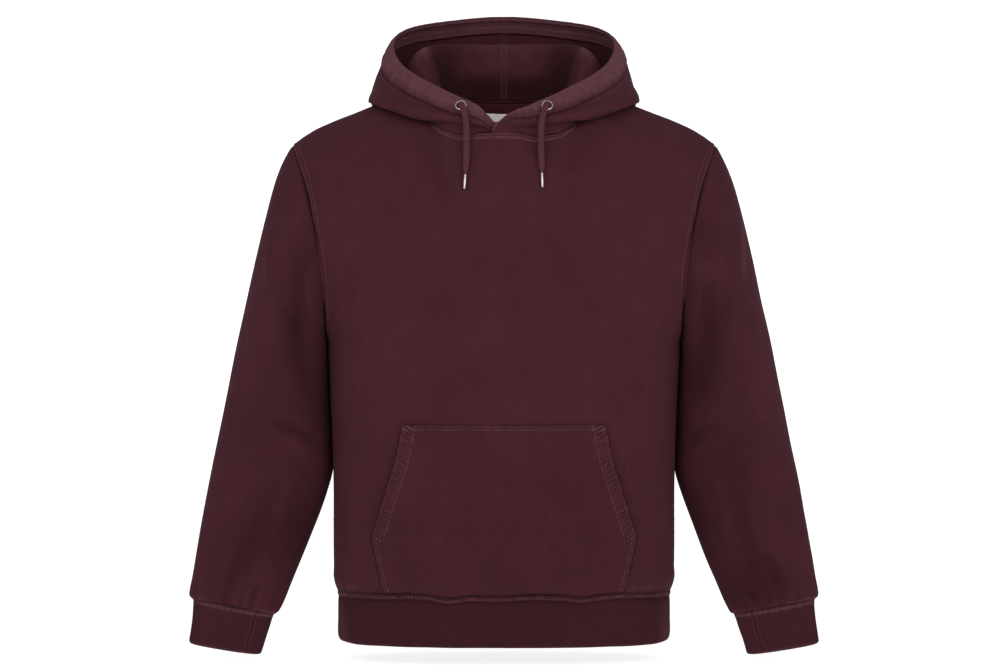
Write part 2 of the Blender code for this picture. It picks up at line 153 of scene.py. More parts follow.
# The hood's profile runs through these levels, from the neck seam to the opening's edge. Each has
# its place along the profile, its heading, and how hard the curve leaves it and arrives at it.
HOOD_LEVELS = ("seam", "ridge", "low", "bulge", "band", "edge")
HOOD_STOPS = (0, 0.18, 0.45, 0.65, 0.88, 1.0)
HOOD_HEADINGS = ((0.25, 0.97), (1, 0), (1, 0), (0, 1), (-0.2, 0.98), (-0.8, 0.6))
HOOD_LEAVES = (0.8, 0.4, 0.9, 1.1, 1, 0)
HOOD_ARRIVES = (0, 0.4, 0.3, 1.1, 1, 1.1)

# %% [markdown]
# ## Curves and grids
#
# `smooth` draws one curve through a column of a table. `ease` goes gently from 0 to 1, for hems and
# creases that have to fade. `dense` spreads samples over a piece with more of them near its edges,
# where the seams are, since that is where the surface bends most.

# %% Helpers for reading the tables
def cubic(t, start, leaves, end, arrives):
    """A curve from start to end as t goes from 0 to 1, with its slope at either end."""
    from_start = start * (1 + 2 * t) * (1 - t) ** 2 + leaves * t * (1 - t) ** 2
    return from_start + (end * t**2 * (3 - 2 * t) + arrives * t**2 * (t - 1))


def smooth(knots, values, at, level_end=False):
    """The cubic curve through the values, read at each place, level where the values turn."""
    knots, values = np.asarray(knots, float), np.asarray(values, float)
    steps = np.diff(knots)
    rises = np.diff(values) / steps
    slopes = np.gradient(values, knots)
    slopes[1:-1][rises[:-1] * rises[1:] <= 0] = 0
    if level_end:
        slopes[-1] = 0
    at = np.clip(at, knots[0], knots[-1])
    index = np.clip(np.searchsorted(knots, at, side="right") - 1, 0, len(steps) - 1)
    span = steps[index]
    t = (at - knots[index]) / span
    leaves, arrives = slopes[index] * span, slopes[index + 1] * span
    return cubic(t, values[index], leaves, values[index + 1], arrives)


def table_at(table, key, column, at):
    """A column of a table, read where its key column has the value at."""
    return smooth(table[key], table[column], at, level_end=key == "turn")


# %% Fades, bumps and samples
def ease(t):
    """0 before t is 0 and 1 after it is 1, going gently between."""
    t = np.clip(t, 0, 1)
    return t * t * (3 - 2 * t)


def bump(distance, width):
    """1 at no distance, fading to nothing past about twice the width."""
    return np.exp(-((distance / width) ** 2))


def bumps(table, x):
    """The sum of a table's bumps at x, each with its own place, width and height."""
    return sum(height * bump(x - middle, width) for middle, width, height in zip(*table.values()))


def dense(count, start=0.0, end=1.0, low=8, high=8, share=0.03):
    """Samples from start to end, with extra ones near either end."""
    span = end - start
    parts = [np.linspace(start, end, count)]
    if low:
        parts.append(start + span * np.linspace(0, share, low))
    if high:
        parts.append(end - span * np.linspace(0, share, high))
    return np.unique(np.round(np.concatenate(parts), 6))


def grid(rows, columns):
    """Two arrays, the row's value and the column's value at every place of a grid."""
    return np.meshgrid(np.asarray(rows, float), np.asarray(columns, float), indexing="ij")


# %% [markdown]
# ## Unevenness
#
# Nothing on a sewn garment repeats exactly. `drift` is a smooth wander made of a few sine waves.
# Their phases come from a fixed seed, so it is the same on every run. It shifts the puckers beside
# a seam and breaks up the wear along it. `swell` is the same over a surface, and gives each panel
# its slow, shallow hills.

# %% Smooth wander from a fixed seed
def drift(s, seed, pitch):
    """A smooth random-looking value from about -1 to 1 along s, wandering over about one pitch."""
    rng = np.random.default_rng(seed)
    total = 0
    for _ in range(4):
        length = pitch * rng.uniform(0.55, 1.9)
        total = total + np.sin(2 * math.pi * s / length + rng.uniform(0, 6.3))
    return total / 2.6


def swell(a, b, seed, pitch):
    """The same in two directions: shallow hills over a surface."""
    rng = np.random.default_rng(seed)
    total = 0
    for _ in range(6):
        heading = rng.uniform(0, math.pi)
        length = pitch * rng.uniform(0.6, 1.7)
        phase = 2 * math.pi * (a * math.cos(heading) + b * math.sin(heading)) / length
        total = total + np.sin(phase + rng.uniform(0, 6.3))
    return total / 3.5


def puckers(s, distance, seed, pitch=12.0, reach=9.0):
    """Ripples that run away from a seam, from -1 to 1, uneven in pitch and strength."""
    phase = 2 * math.pi * s / pitch + 2.2 * drift(s, seed, 3.3 * pitch)
    strength = 0.55 + 0.45 * drift(s, seed + 1, 4 * pitch)
    return np.sin(phase) * strength * np.exp(-distance / reach)


# %% [markdown]
# ## From a grid to a piece of cloth
#
# A `Cloth` keeps a grid of points and knows which way is out, so that heights can be added to it
# and stitches laid on it later. Its lengths along both directions become the UV map in metres,
# which keeps a knit pattern at one scale over every piece.
#
# `sew` makes the mesh: the outer face, the inner face behind it and a rounded rim. The wall is
# built by hand, not with Solidify, because a folded hem is thicker than the rest.

# %% The cloth class
def normals(points, wrap=False):
    """The direction across the surface at each point, one unit long."""
    if wrap:
        along_row = np.roll(points, -1, 1) - np.roll(points, 1, 1)
    else:
        along_row = np.gradient(points, axis=1)
    down_column = np.gradient(points, axis=0)
    normal = np.cross(along_row, down_column)
    return normal / np.maximum(np.linalg.norm(normal, axis=-1, keepdims=True), 1e-9)


def lengths(points, axis):
    """Distance along each row or column of a grid, from its first point."""
    steps = np.linalg.norm(np.diff(points, axis=axis), axis=-1)
    first = np.zeros_like(np.take(steps, [0], axis=axis))
    return np.concatenate([first, np.cumsum(steps, axis=axis)], axis=axis)


class Cloth:
    """A grid of points. wrap closes it to a tube, and flip turns its outward side round."""

    def __init__(self, points, wrap=False, flip=False):
        self.points = np.array(points, float)
        self.wrap = wrap
        self.sign = -1.0 if flip else 1.0
        self.wear_and_painted_light = np.zeros(self.points.shape[:2])
        self.lining = np.zeros(self.points.shape[:2])
        self.across = lengths(self.points, 1)
        self.down = lengths(self.points, 0)
        self.behind = self.outward()

    def outward(self):
        return normals(self.points, self.wrap) * self.sign

    def raise_by(self, height):
        """Moves the surface out by a height at each point."""
        self.points = self.points + self.outward() * np.asarray(height)[..., None]

    def lengthen(self, amount):
        """Draws the last row out, so that it laps over the edge of its neighbour."""
        out = self.points[-1] - self.points[-2]
        self.points[-1] += amount * out / np.linalg.norm(out, axis=-1, keepdims=True)

    def at(self, row, column):
        """Points and normals at fractional rows and columns of the grid."""
        rows, columns = self.points.shape[:2]
        row = np.clip(np.asarray(row, float), 0, rows - 1.001)
        column = np.asarray(column, float)
        column = column % columns if self.wrap else np.clip(column, 0, columns - 1.001)
        r, c = np.floor(row).astype(int), np.floor(column).astype(int)
        right = (c + 1) % columns if self.wrap else c + 1
        a, b = (row - r)[..., None], (column - c)[..., None]
        found = []
        for values in (self.points, self.outward()):
            top = values[r, c] * (1 - b) + values[r, right] * b
            foot = values[r + 1, c] * (1 - b) + values[r + 1, right] * b
            found.append(top * (1 - a) + foot * a)
        return found[0], found[1] / np.linalg.norm(found[1], axis=-1, keepdims=True)


def index_of(values, wanted):
    """The fractional index of a value in an increasing list."""
    return np.interp(wanted, values, np.arange(len(values)))


# %% From a grid to a mesh
def object_from(name, vertices, faces, uvs=None, wear_and_painted_light=None):
    """A mesh object from points in millimetres. faces is one array with 4 corners in each row."""
    mesh = bpy.data.meshes.new(name)
    mesh.vertices.add(len(vertices))
    mesh.vertices.foreach_set("co", (np.asarray(vertices) * MM).ravel())
    mesh.loops.add(faces.size)
    mesh.loops.foreach_set("vertex_index", faces.ravel().astype(np.int32))
    mesh.polygons.add(len(faces))
    mesh.polygons.foreach_set("loop_start", np.arange(0, faces.size, 4, dtype=np.int32))
    mesh.update(calc_edges=True)
    if uvs is not None:
        layer = mesh.uv_layers.new(name="UVMap")
        layer.data.foreach_set("uv", (np.asarray(uvs)[faces.ravel()] * MM).ravel())
    if wear_and_painted_light is not None:
        attribute = mesh.attributes.new("wear_and_painted_light", "FLOAT", "POINT")
        attribute.data.foreach_set("value", np.clip(wear_and_painted_light, -1, 1).ravel())
    mesh.shade_smooth()
    mesh.validate()
    made = bpy.data.objects.new(name, mesh)
    bpy.context.scene.collection.objects.link(made)
    return made


# %% Sew a cloth to a wall with rims
RIM_ROUND = 0.5
LINING_WEAR_AND_LIGHT = 0.4


def sew(name, cloth, wall, finish):
    """The object of a cloth: its outer face, its inner face one wall behind, and its rims."""
    rows, columns = cloth.points.shape[:2]
    wall = np.broadcast_to(wall, (rows, columns))
    inner = cloth.points - cloth.behind * wall[..., None]
    count = rows * columns
    number = np.arange(count).reshape(rows, columns)
    if cloth.wrap:
        number = np.concatenate([number, number[:, :1]], axis=1)

    def quads(table, turned):
        corners = [table[:-1, :-1], table[:-1, 1:], table[1:, 1:], table[1:, :-1]]
        return np.stack(corners[::-1] if turned else corners, -1).reshape(-1, 4)

    turned = cloth.sign < 0
    faces = [quads(number, turned), quads(number + count, not turned)]
    uv = np.stack([cloth.across, -cloth.down], -1).reshape(-1, 2)
    wear_and_painted_light = cloth.wear_and_painted_light.ravel()
    points = [cloth.points.reshape(-1, 3), inner.reshape(-1, 3)]
    # The inner face keeps part of the rubbed pale and painted highlight, all of the painted shade,
    # and the painted light and shade given for its own side.
    inside = np.where(wear_and_painted_light > 0, wear_and_painted_light * LINING_WEAR_AND_LIGHT, wear_and_painted_light) + cloth.lining.ravel()
    flat, worn_and_lit = [uv, uv], [wear_and_painted_light, inside]
    edges = [(number[0], number[1], True), (number[-1], number[-2], False)]
    if not cloth.wrap:
        edges += [(number[:, 0], number[:, 1], False), (number[:, -1], number[:, -2], True)]
    made = 2 * count
    for edge, inward, against in edges:
        outer, lining = points[0][edge], points[1][edge]
        out = outer - points[0][inward]
        out /= np.maximum(np.linalg.norm(out, axis=-1, keepdims=True), 1e-9)
        reach = np.linalg.norm(outer - lining, axis=-1, keepdims=True) * RIM_ROUND
        middle = (outer + lining) / 2 + out * reach
        points.append(middle)
        flat.append(uv[edge])
        worn_and_lit.append(wear_and_painted_light[edge])
        rim = made + np.arange(len(edge))
        made += len(edge)
        faces.append(quads(np.stack([edge, rim, edge + count], 0), turned != against))
    piece = object_from(
        name,
        np.concatenate(points),
        np.concatenate(faces),
        np.concatenate(flat),
        np.concatenate(worn_and_lit),
    )
    piece.data.materials.append(finish.material)
    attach(piece, "root")
    return piece


# %% [markdown]
# ## Shader maths in plain Python
#
# A knitted cloth needs a good deal of shader maths. `Wire` wraps one socket and lets the usual
# operators add Math nodes, so that a pattern reads like a formula. `Finish` is one material, and
# its `add` makes any other node. The Wave texture draws one line in 0.314 m at a scale of 1, so
# `lines` divides by the pitch that is wanted.

# %% Sockets with operators
class Wire:
    def __init__(self, tree, socket):
        self.tree, self.socket = tree, socket

    def math(self, operation, *others):
        node = self.tree.nodes.new("ShaderNodeMath")
        node.operation = operation
        for place, value in enumerate((self, *others)):
            plug(self.tree, value, node.inputs[place])
        return Wire(self.tree, node.outputs[0])

    def __add__(self, other):
        return self.math("ADD", other)

    def __sub__(self, other):
        return self.math("SUBTRACT", other)

    def __mul__(self, other):
        return self.math("MULTIPLY", other)

    def __rsub__(self, other):
        return (self * -1.0) + other

    __radd__ = __add__
    __rmul__ = __mul__


def plug(tree, value, socket):
    if isinstance(value, Wire):
        tree.links.new(value.socket, socket)
    else:
        socket.default_value = value


# %% A finish and the nodes it takes
WAVE_LENGTH = 0.314


class Finish:
    """A material, and one method that adds any node to it."""

    def __init__(self, name, roughness=0.9, metallic=0.0):
        self.material = bpy.data.materials.new(name)
        self.material.use_nodes = True
        self.tree = self.material.node_tree
        self.shader = self.tree.nodes["Principled BSDF"]
        self.set("Roughness", roughness)
        self.set("Metallic", metallic)

    def set(self, socket, value):
        plug(self.tree, value, self.shader.inputs[socket])

    def add(self, kind, output=0, settings=None, **sockets):
        node = self.tree.nodes.new("ShaderNode" + kind)
        for key, value in (settings or {}).items():
            setattr(node, key, value)
        for key, value in sockets.items():
            plug(self.tree, value, node.inputs[key.replace("_", " ")])
        return Wire(self.tree, node.outputs[output])

    def noise(self, place, scale, detail=2.0, roughness=0.5):
        return self.add("TexNoise", Vector=place, Scale=scale, Detail=detail, Roughness=roughness)

    def lines(self, place, direction, pitch, waver=0.0):
        """Fine parallel lines a set pitch apart, in metres, as a knit or a weave has."""
        return self.add(
            "TexWave",
            1,
            settings={"wave_type": "BANDS", "bands_direction": direction, "wave_profile": "SIN"},
            Vector=place,
            Scale=WAVE_LENGTH / pitch,
            Distortion=waver,
            Detail=1.0,
        )

    def mix(self, share, low, high):
        node = self.tree.nodes.new("ShaderNodeMix")
        node.data_type = "RGBA"
        plug(self.tree, share, node.inputs[0])
        plug(self.tree, low, node.inputs[6])
        plug(self.tree, high, node.inputs[7])
        return Wire(self.tree, node.outputs[2])

    def fade(self, value, low, high):
        """0 below low and 1 above high, going gently between."""
        settings = {"interpolation_type": "SMOOTHSTEP"}
        return self.add("MapRange", settings=settings, Value=value, From_Min=low, From_Max=high)

    def relief(self, height, distance, strength):
        bump_map = self.add("Bump", Height=height, Distance=distance, Strength=strength)
        self.set("Normal", bump_map)

    def plain(self, **sockets):
        """Sets values that are the same all over the piece, each on the shader's own socket."""
        for key, value in sockets.items():
            self.shader.inputs[key.replace("_", " ")].default_value = value


# %% [markdown]
# ## Garment-dyed fleece
#
# The garment was sewn first and dyed and washed afterwards. So the dye is a little cloudy and
# rubbed pale on worn edges and strips. The face is a fine jersey knit with a soft fuzz. Large and
# small noise mottle the colour. The wear values of each piece lift it to the pale tone where it is
# worn,
# and also carry painted light: highlights on ridges, and painted shade in seam valleys, creases and
# hollows. Sheen stands for the fuzz that catches light at a grazing angle.

# %% Materials of the cloth
KNIT_DEPTH = 0.0004
COURSE_SHARE = 0.8


def cloth_finish(name, base, deep, pale, stitch_pitch):
    """A washed knit. Its columns of stitches are one pitch apart, and its courses a little less."""
    finish = Finish(name, roughness=0.92)
    place = finish.add("TexCoord", output=3)
    flat = finish.add("UVMap")
    broad = finish.noise(place, 11.0, 3.0, 0.55)
    middle = finish.noise(place, 46.0, 3.0, 0.6)
    heather = finish.noise(flat, 620.0, 2.0, 0.6)
    worn_and_lit = finish.add("Attribute", output=2, settings={"attribute_name": "wear_and_painted_light"})
    slub = finish.noise(place, 170.0, 2.0, 0.65)
    cloud = broad * 0.45 + middle * 0.34 + slub * 0.22 + heather * 0.2
    colour = finish.mix(finish.fade(cloud, 0.42, 0.78), (*deep, 1), (*base, 1))
    # Positive values mix in the pale tone: rubbed wear, and painted highlights on ridges.
    rub_and_highlight = worn_and_lit * (0.55 + middle * 0.55 + heather * 0.35)
    colour = finish.mix(finish.fade(rub_and_highlight, 0.05, 0.95), colour, (*pale, 1))
    # Negative values mix in painted shade, a darker copy of the deep tone.
    painted_shade_tone = [0.45 * value for value in deep]
    colour = finish.mix(finish.fade(worn_and_lit * -1, 0.0, 1.0), colour, (*painted_shade_tone, 1))
    finish.set("Base Color", colour)
    columns = finish.lines(flat, "X", stitch_pitch, waver=0.6)
    courses = finish.lines(flat, "Y", stitch_pitch * COURSE_SHARE, waver=0.8)
    fuzz = finish.noise(flat, 1500.0, 3.0, 0.7)
    height = columns * 0.35 + courses * 0.22 + fuzz * 0.5 + middle * 0.6
    finish.relief(height, KNIT_DEPTH, 0.75)
    finish.plain(Sheen_Weight=0.015, Sheen_Roughness=0.55, Sheen_Tint=(1.0, 0.72, 0.78, 1))
    finish.plain(Specular_IOR_Level=0.03)
    return finish


fleece = cloth_finish(
    "Washed burgundy fleece",
    base=(0.0560, 0.0155, 0.0212),
    deep=(0.0450, 0.0122, 0.0166),
    pale=(0.1020, 0.0390, 0.0480),
    stitch_pitch=0.0012,
)
rib = cloth_finish(
    "Washed burgundy rib",
    base=(0.0420, 0.0115, 0.0155),
    deep=(0.0330, 0.0090, 0.0120),
    pale=(0.0900, 0.0340, 0.0420),
    stitch_pitch=0.0010,
)
print("cloth finishes:", fleece.material.name, "and", rib.material.name)

# %% [markdown]
# ## Seams, hems and creases
#
# A seam is a valley where two pieces turn in to each other. Where it is topstitched, the turned-in
# edges make a flat raised strip beside it, and two rows of stitches sink into that strip. Pulling
# on the thread ripples the cloth, so puckers run off it.
#
# A crease is a soft trough or ridge along a line. One place in every column of a crease table is
# one crease, with its two ends, its width, its height and how far its middle bows sideways.
#
# Each term below is one form that can be pointed at on the cloth, a height times where it lies.
# Heights, widths and distances are millimetres. Wear values go from -1, deepest painted shade, to
# 1, palest, where rubbing and painted highlights lift them.

# %% Seam and crease heights
STRIP = 7.0
STITCH_ROWS = (1.9, 6.3)


def topstitched(distance, s, seed, height=0.9, strip=STRIP, rows=STITCH_ROWS):
    """The height of a topstitched seam's strip at a distance from its edge."""
    raised = ease(distance / 1.2) * (1 - ease((distance - strip) / 3.0))
    sunk = sum(bump(distance - row, 1.0) for row in rows)
    ripple = puckers(s, np.abs(distance - strip / 2), seed, pitch=8.5, reach=7.0)
    return height * raised - 0.65 * sunk - 0.9 * bump(distance, 1.1) + 0.42 * ripple


def strip_wear(distance, s, seed, strip=STRIP):
    """How far a topstitched strip is rubbed pale, in broken patches along it."""
    patches = 0.5 + 0.5 * drift(s, seed, 16.0)
    fine = 0.5 + 0.5 * drift(s, seed + 7, 5.0)
    edge = 0.7 * bump(distance - 0.8, 0.9) + 0.6 * bump(distance - strip + 0.4, 1.1)
    on_strip = (1 - ease((distance - strip + 1) / 2.5)) * 0.14
    return 1.8 * (edge * (0.45 + 0.55 * fine) + on_strip) * (0.45 + 0.55 * patches)


def broken_wear(distance, s, seed, pitch):
    """A rubbed line that comes and goes along s."""
    return bump(distance, 3.5) * (0.6 + 0.4 * drift(s, seed, pitch))


def plain_seam(distance, s, seed, depth):
    """The valley of a seam with no stitches on the outside."""
    return -depth * bump(distance, 2.0) + 0.3 * puckers(s, distance, seed, 14.0, 10.0)


def rolled(from_end, radius):
    """How far a rounded edge has turned in, from 1 at its end to 0 one radius away."""
    return 1 - np.sqrt(1 - np.clip(1 - from_end / radius, 0, 1) ** 2)


# %% Heights of the creases
def creases(points, table):
    """The summed height of a table of creases, each drawn in the x and z of the garment."""
    x, z = points[..., 0], points[..., 2]
    total = np.zeros_like(x)
    for x0, z0, x1, z1, width, height, bow in zip(*table.values()):
        length = math.hypot(x1 - x0, z1 - z0)
        along_x, along_z = (x1 - x0) / length, (z1 - z0) / length
        run = (x - x0) * along_x + (z - z0) * along_z
        t = np.clip(run / length, 0, 1)
        sideways = (x - x0) * along_z - (z - z0) * along_x - bow * 4 * t * (1 - t)
        beyond = run - t * length
        fade = 0.35 + 0.65 * ease(t / 0.3) * ease((1 - t) / 0.35)
        total = total + height * fade * np.exp(-(sideways**2 + beyond**2) / width**2)
    return total


# %% Creases of the body
FRONT_CREASES = {
    "x0": (0, -38, -62, 172, 186, -183, 131, 60, -80, -196, 192, -120, 95, -150, 150),
    "z0": (
        -48, -540, -545, -352, -385, -385, -560, -90, -120, -300, -310, -250, -230, -520, -510,
    ),
    "x1": (2, -36, -58, 196, 190, -190, 134, 85, -110, -150, 150, -60, 40, -170, 168),
    "z1": (
        -180, -606, -604, -348, -470, -450, -604, -190, -230, -345, -350, -275, -262, -590, -585,
    ),
    "width": (6, 9, 8, 4, 13, 14, 10, 16, 18, 12, 12, 16, 18, 12, 12),
    "height": (
        0.6, -2.3, 1.2, -0.7, -1.6, -1.7, -1.6, -0.9, -1.0, -1.3, -1.3, -0.8, -0.8, -1.2, -1.1,
    ),
    "bow": (2, 1, -1, 2, 5, -5, 1, 6, -6, 6, -6, 4, -4, 5, -5),
}
BACK_CREASES = {
    "x0": (12, -90, 70, -190, 188, 40, -45, -150, 140, 0, 96),
    "z0": (-180, -200, -215, -300, -295, -420, -500, -480, -505, -560, -380),
    "x1": (6, -40, 30, -130, 135, 90, -30, -170, 165, 8, 150),
    "z1": (-330, -260, -280, -350, -345, -470, -600, -590, -600, -608, -410),
    "width": (16, 14, 14, 13, 13, 16, 12, 12, 12, 10, 14),
    "height": (-1.4, -1.1, -1.2, -1.6, -1.5, -1.0, -1.8, -1.3, -1.3, 1.3, -0.9),
    "bow": (4, 6, -6, 7, -7, 6, 2, 5, -5, 1, -5),
}

# %% [markdown]
# ## Front and back
#
# Each is one panel, from the neckline and the shoulders down to the hem's rib. Its top edge follows
# the neck and the shoulder line, its sides follow the armholes, and between them the cloth rolls
# over the chest to a rounded section. The hem's seam isn't level: the weight of the pocket pulls
# it down in two places, and `hem_dip` moves the panel and the rib below it together.

# %% Neck, armhole and section of the body
def round_neck(turn, reach, z):
    """A point round the neck's axis. turn is 0 at the front and 180 behind, in degrees."""
    angle = np.radians(turn)
    return np.stack([reach * np.sin(angle), NECK_AXIS_Y - reach * np.cos(angle), z], -1)


def neck_seam(turn):
    """A point of the seam between the body and the hood."""
    reach = table_at(HOOD, "turn", "seam_reach", turn)
    return round_neck(turn, reach, table_at(HOOD, "turn", "seam_z", turn))


def torso_section(side, across, z):
    """x and y of the body's rounded section at z. across is 0 in the middle and 1 at the side."""
    power = SQUARENESS / 2
    share = across**power / (across**power + (1 - across) ** power)
    angle = share * math.pi / 2
    width = table_at(TORSO, "z", "half_width", z)
    depth = table_at(TORSO, "z", "front" if side < 0 else "back", z)
    x = width * np.sin(angle) ** (1 / power)
    return x, side * depth * np.clip(np.cos(angle), 0, 1) ** (1 / power)


def sleeve_ring(around, along, table=SLEEVE):
    """A point of the sleeve. around is 0 at the outer point, 90 at the front and 180 inside."""
    angle = np.radians(around)
    read = {name: table_at(table, "along", name, along) for name in table if name != "along"}
    middle_x = (read["outer_x"] + read["inner_x"]) / 2
    middle_z = (read["outer_z"] + read["inner_z"]) / 2
    x = middle_x + np.cos(angle) * (read["outer_x"] - middle_x)
    x = x - read["scoop"] * np.sin(angle) ** 2 * np.where(np.sin(angle) > 0, 1, 0.5)
    z = middle_z + np.cos(angle) * (read["outer_z"] - middle_z)
    return np.stack([x, read["centre_y"] - np.sin(angle) * read["depth"], z], -1)


def armhole(side, z):
    """The panel's side edge: the sleeve's seam, and below it the side seam."""
    top, bottom = SLEEVE["outer_z"][0], SLEEVE["inner_z"][0]
    cosine = np.clip((2 * z - top - bottom) / (top - bottom), -1, 1)
    around = np.degrees(np.arccos(cosine))
    seam = sleeve_ring(np.where(side < 0, around, -around), 0 * z)
    below = table_at(TORSO, "z", "half_width", z)
    under = z < bottom
    y = np.where(under, 0, seam[..., 1])
    join = ease((z - bottom + 60) / 60)
    x = np.where(under, below + join * (SLEEVE["inner_x"][0] - 1 - below), seam[..., 0])
    return np.stack([x, y, z], -1)


# %% Shape of the panels
def torso_top(side, across):
    """The panel's top edge: round the neck, then along the shoulder."""
    middle_turn = 0 if side < 0 else 180
    turn = middle_turn + (NECK_POINT_TURN - middle_turn) * np.clip(across / NECK_SHARE, 0, 1)
    neck = neck_seam(turn)
    neck_point = neck_seam(np.array(NECK_POINT_TURN))
    out = np.clip((across - NECK_SHARE) / (1 - NECK_SHARE), 0, 1)
    x = neck_point[0] + (SHOULDER["x"][-1] - neck_point[0]) * out
    y = neck_point[1] + (SLEEVE["centre_y"][0] - neck_point[1]) * out
    on_neck = (across <= NECK_SHARE)[..., None]
    return np.where(on_neck, neck, np.stack([x, y, table_at(SHOULDER, "x", "z", x)], -1))


def half_torso(side, across, down):
    """Half a panel, which rolls over from its top edge to the body's section and goes down it."""
    top = torso_top(side, across)
    out = np.clip((across - NECK_SHARE) / (1 - NECK_SHARE), 0, 1)
    roll = ROLL_HEIGHT + (TIP_ROLL_HEIGHT - ROLL_HEIGHT) * out
    lean = NECK_LEAN * (1 - ease(across / NECK_SHARE))
    turned = lean + (math.pi / 2 - lean) * np.clip(down / ROLL_SHARE, 0, 1)
    drop = roll * (np.cos(lean) - np.cos(turned)) / np.cos(lean)
    forward = (np.sin(turned) - np.sin(lean)) / (1 - np.sin(lean))
    below = np.clip((down - ROLL_SHARE) / (1 - ROLL_SHARE), 0, 1)
    z = top[..., 2] - drop - below * (top[..., 2] - roll - HEM_Z)
    x, y = torso_section(side, across, z)
    x = top[..., 0] + (x - top[..., 0]) * forward
    y = top[..., 1] + (y - top[..., 1]) * forward
    return np.stack([x, y, z], -1)


def torso(side, across, down):
    """A panel, with its side edges drawn to the armholes. side is -1 in front and 1 behind."""
    half = np.abs(across)
    point = half_torso(side, half, down)
    edge = half_torso(side, np.ones_like(half), down)
    out = np.clip((half - NECK_SHARE) / (1 - NECK_SHARE), 0, 1)
    point = point + (out**2)[..., None] * (armhole(side, edge[..., 2]) - edge)
    point[..., 0] *= np.sign(across)
    return point


# %% Dips of the seams, and the painted shadow beside the pocket
HEM_DIPS = {
    "x": (-69, -118, 96, 150, -12, 40),
    "width": (17, 20, 16, 22, 26, 20),
    "drop": (4.2, -1.2, 3.4, -1.5, 1.0, -1.0),
}
DIP_BEHIND = 0.6


def hem_dip(x, side):
    """How far the hem's seam hangs below its level at x. side is -1 in front."""
    return (1 if side < 0 else DIP_BEHIND) * bumps(HEM_DIPS, x * -side)


NECK_DIPS = {
    "x": (-52, 40, 70),
    "width": (16, 15, 16),
    "drop": (2.0, 4.4, 2.4),
}


def neck_dip(x):
    """How far the front of the neck seam hangs below its level at x."""
    return bumps(NECK_DIPS, x)


def pocket_edge_shadow(points):
    """1 just outside the pocket's edge, where its painted shadow lies, and 0 further off."""
    x, z = np.abs(points[..., 0]), points[..., 2]
    down = (POCKET_TOP_Z - z) / (POCKET_TOP_Z - HEM_Z)
    half_width = np.interp(down, POCKET["down"], POCKET["half_width"])
    over = bump(np.maximum(z - POCKET_TOP_Z, 0), 1.6) * ease((half_width + 1 - x) / 1)
    beside = bump(np.maximum(x - half_width, 0), 1.8) * (down > 0)
    return np.where(down < 0, over, beside * (x > half_width - 3))


TURNED_SHARE = 0.15


def in_view(points, from_side):
    """Distance from the side edge, measured across the garment and not round its turned side."""
    x = np.abs(points[..., 0])
    edge = np.where(points[..., 0] < 0, x[:, :1], x[:, -1:])
    return np.minimum(from_side, edge - x + TURNED_SHARE * from_side)


# %% Sew the front and back
HEM_FADE = 46.0
HEM_RISE = 4.4
ARMPIT_Z = -306.0
ARMHOLE_STRIP = 6.6
ARMHOLE_ROWS = (1.4, 5.9)
body = {}
for name, side, columns, rows in (("front", -1, 76, 132), ("back", 1, 52, 92)):
    half = dense(columns, low=0, high=9)
    across = np.concatenate([-half[:0:-1], half])
    down = dense(rows, low=16, high=12)
    down_at, across_at = grid(down, across)
    points = torso(side, across_at, down_at)
    points[..., 1] += side * SEAM_GAP / 2
    cloth = Cloth(points, flip=side < 0)
    x, z = points[..., 0], points[..., 2]
    from_top = cloth.down
    from_hem = cloth.down[-1] - cloth.down
    from_side = np.minimum(cloth.across, cloth.across[:, -1:] - cloth.across)
    from_sleeve = in_view(points, from_side)
    on_armhole = ease((z - SLEEVE["inner_z"][0]) / 18)
    on_neck = 1 - ease((np.abs(across_at) - NECK_SHARE) / 0.02)
    seed = 11 if side < 0 else 31
    height = creases(points, FRONT_CREASES if side < 0 else BACK_CREASES)
    calm = ease(from_side / 40) * ease(from_top / 40)
    height += 0.55 * calm * swell(x, z, seed, 120)
    height += on_armhole * topstitched(from_sleeve, z, seed + 3, 0.7, ARMHOLE_STRIP, ARMHOLE_ROWS)
    height += (1 - on_armhole) * plain_seam(from_side, z, seed + 5, 0.3)
    height += on_neck * topstitched(from_top, x, seed + 6)
    height += (1 - on_neck) * plain_seam(from_top, x, seed + 8, 0.8)
    height += -0.5 * bump(from_hem, 2.2)
    height += 0.8 * puckers(x, from_hem, seed + 9, 13.0, 11.0)
    height += 1.6 * bump(from_hem - 16, 13) * (0.5 + 0.5 * drift(x, seed + 10, 70))
    height += 0.8 * bump(z - ARMPIT_Z, 12) * bump(from_side, 9)
    cloth.raise_by(height)
    cloth.lengthen(0.8)
    cloth.points[..., 2] -= (hem_dip(x, side) - HEM_RISE) * ease(1 - from_hem / HEM_FADE)
    # The strips and the line above the hem are rubbed pale by wear. The dark line at the hem seam
    # is painted shadow, and the pale on crease ridges is partly wear and partly painted highlight.
    cloth.wear_and_painted_light = on_armhole * 0.38 * strip_wear(from_sleeve, z, seed + 12, ARMHOLE_STRIP)
    cloth.wear_and_painted_light += on_neck * strip_wear(from_top, x, seed + 13)
    cloth.wear_and_painted_light += 0.25 * broken_wear(from_hem - 6, x, seed, 14) - 0.35 * bump(from_hem, 1.6)
    if side < 0:
        cloth.points[..., 2] -= neck_dip(x) * ease(1 - from_top / 40)
        # Painted shadow of the pocket's edge on the front panel.
        cloth.wear_and_painted_light -= 0.75 * pocket_edge_shadow(points)
    cloth.wear_and_painted_light += (1 - on_armhole) * 0.7 * bump(from_side - 2, 3) + 0.12 * np.clip(height, 0, 2)
    cloth.across_values = across
    cloth.piece = sew(name + "_panel", cloth, FLEECE, fleece)
    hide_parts(name + "_body")
    body[name] = cloth
    print(name, "panel:", cloth.points.shape)
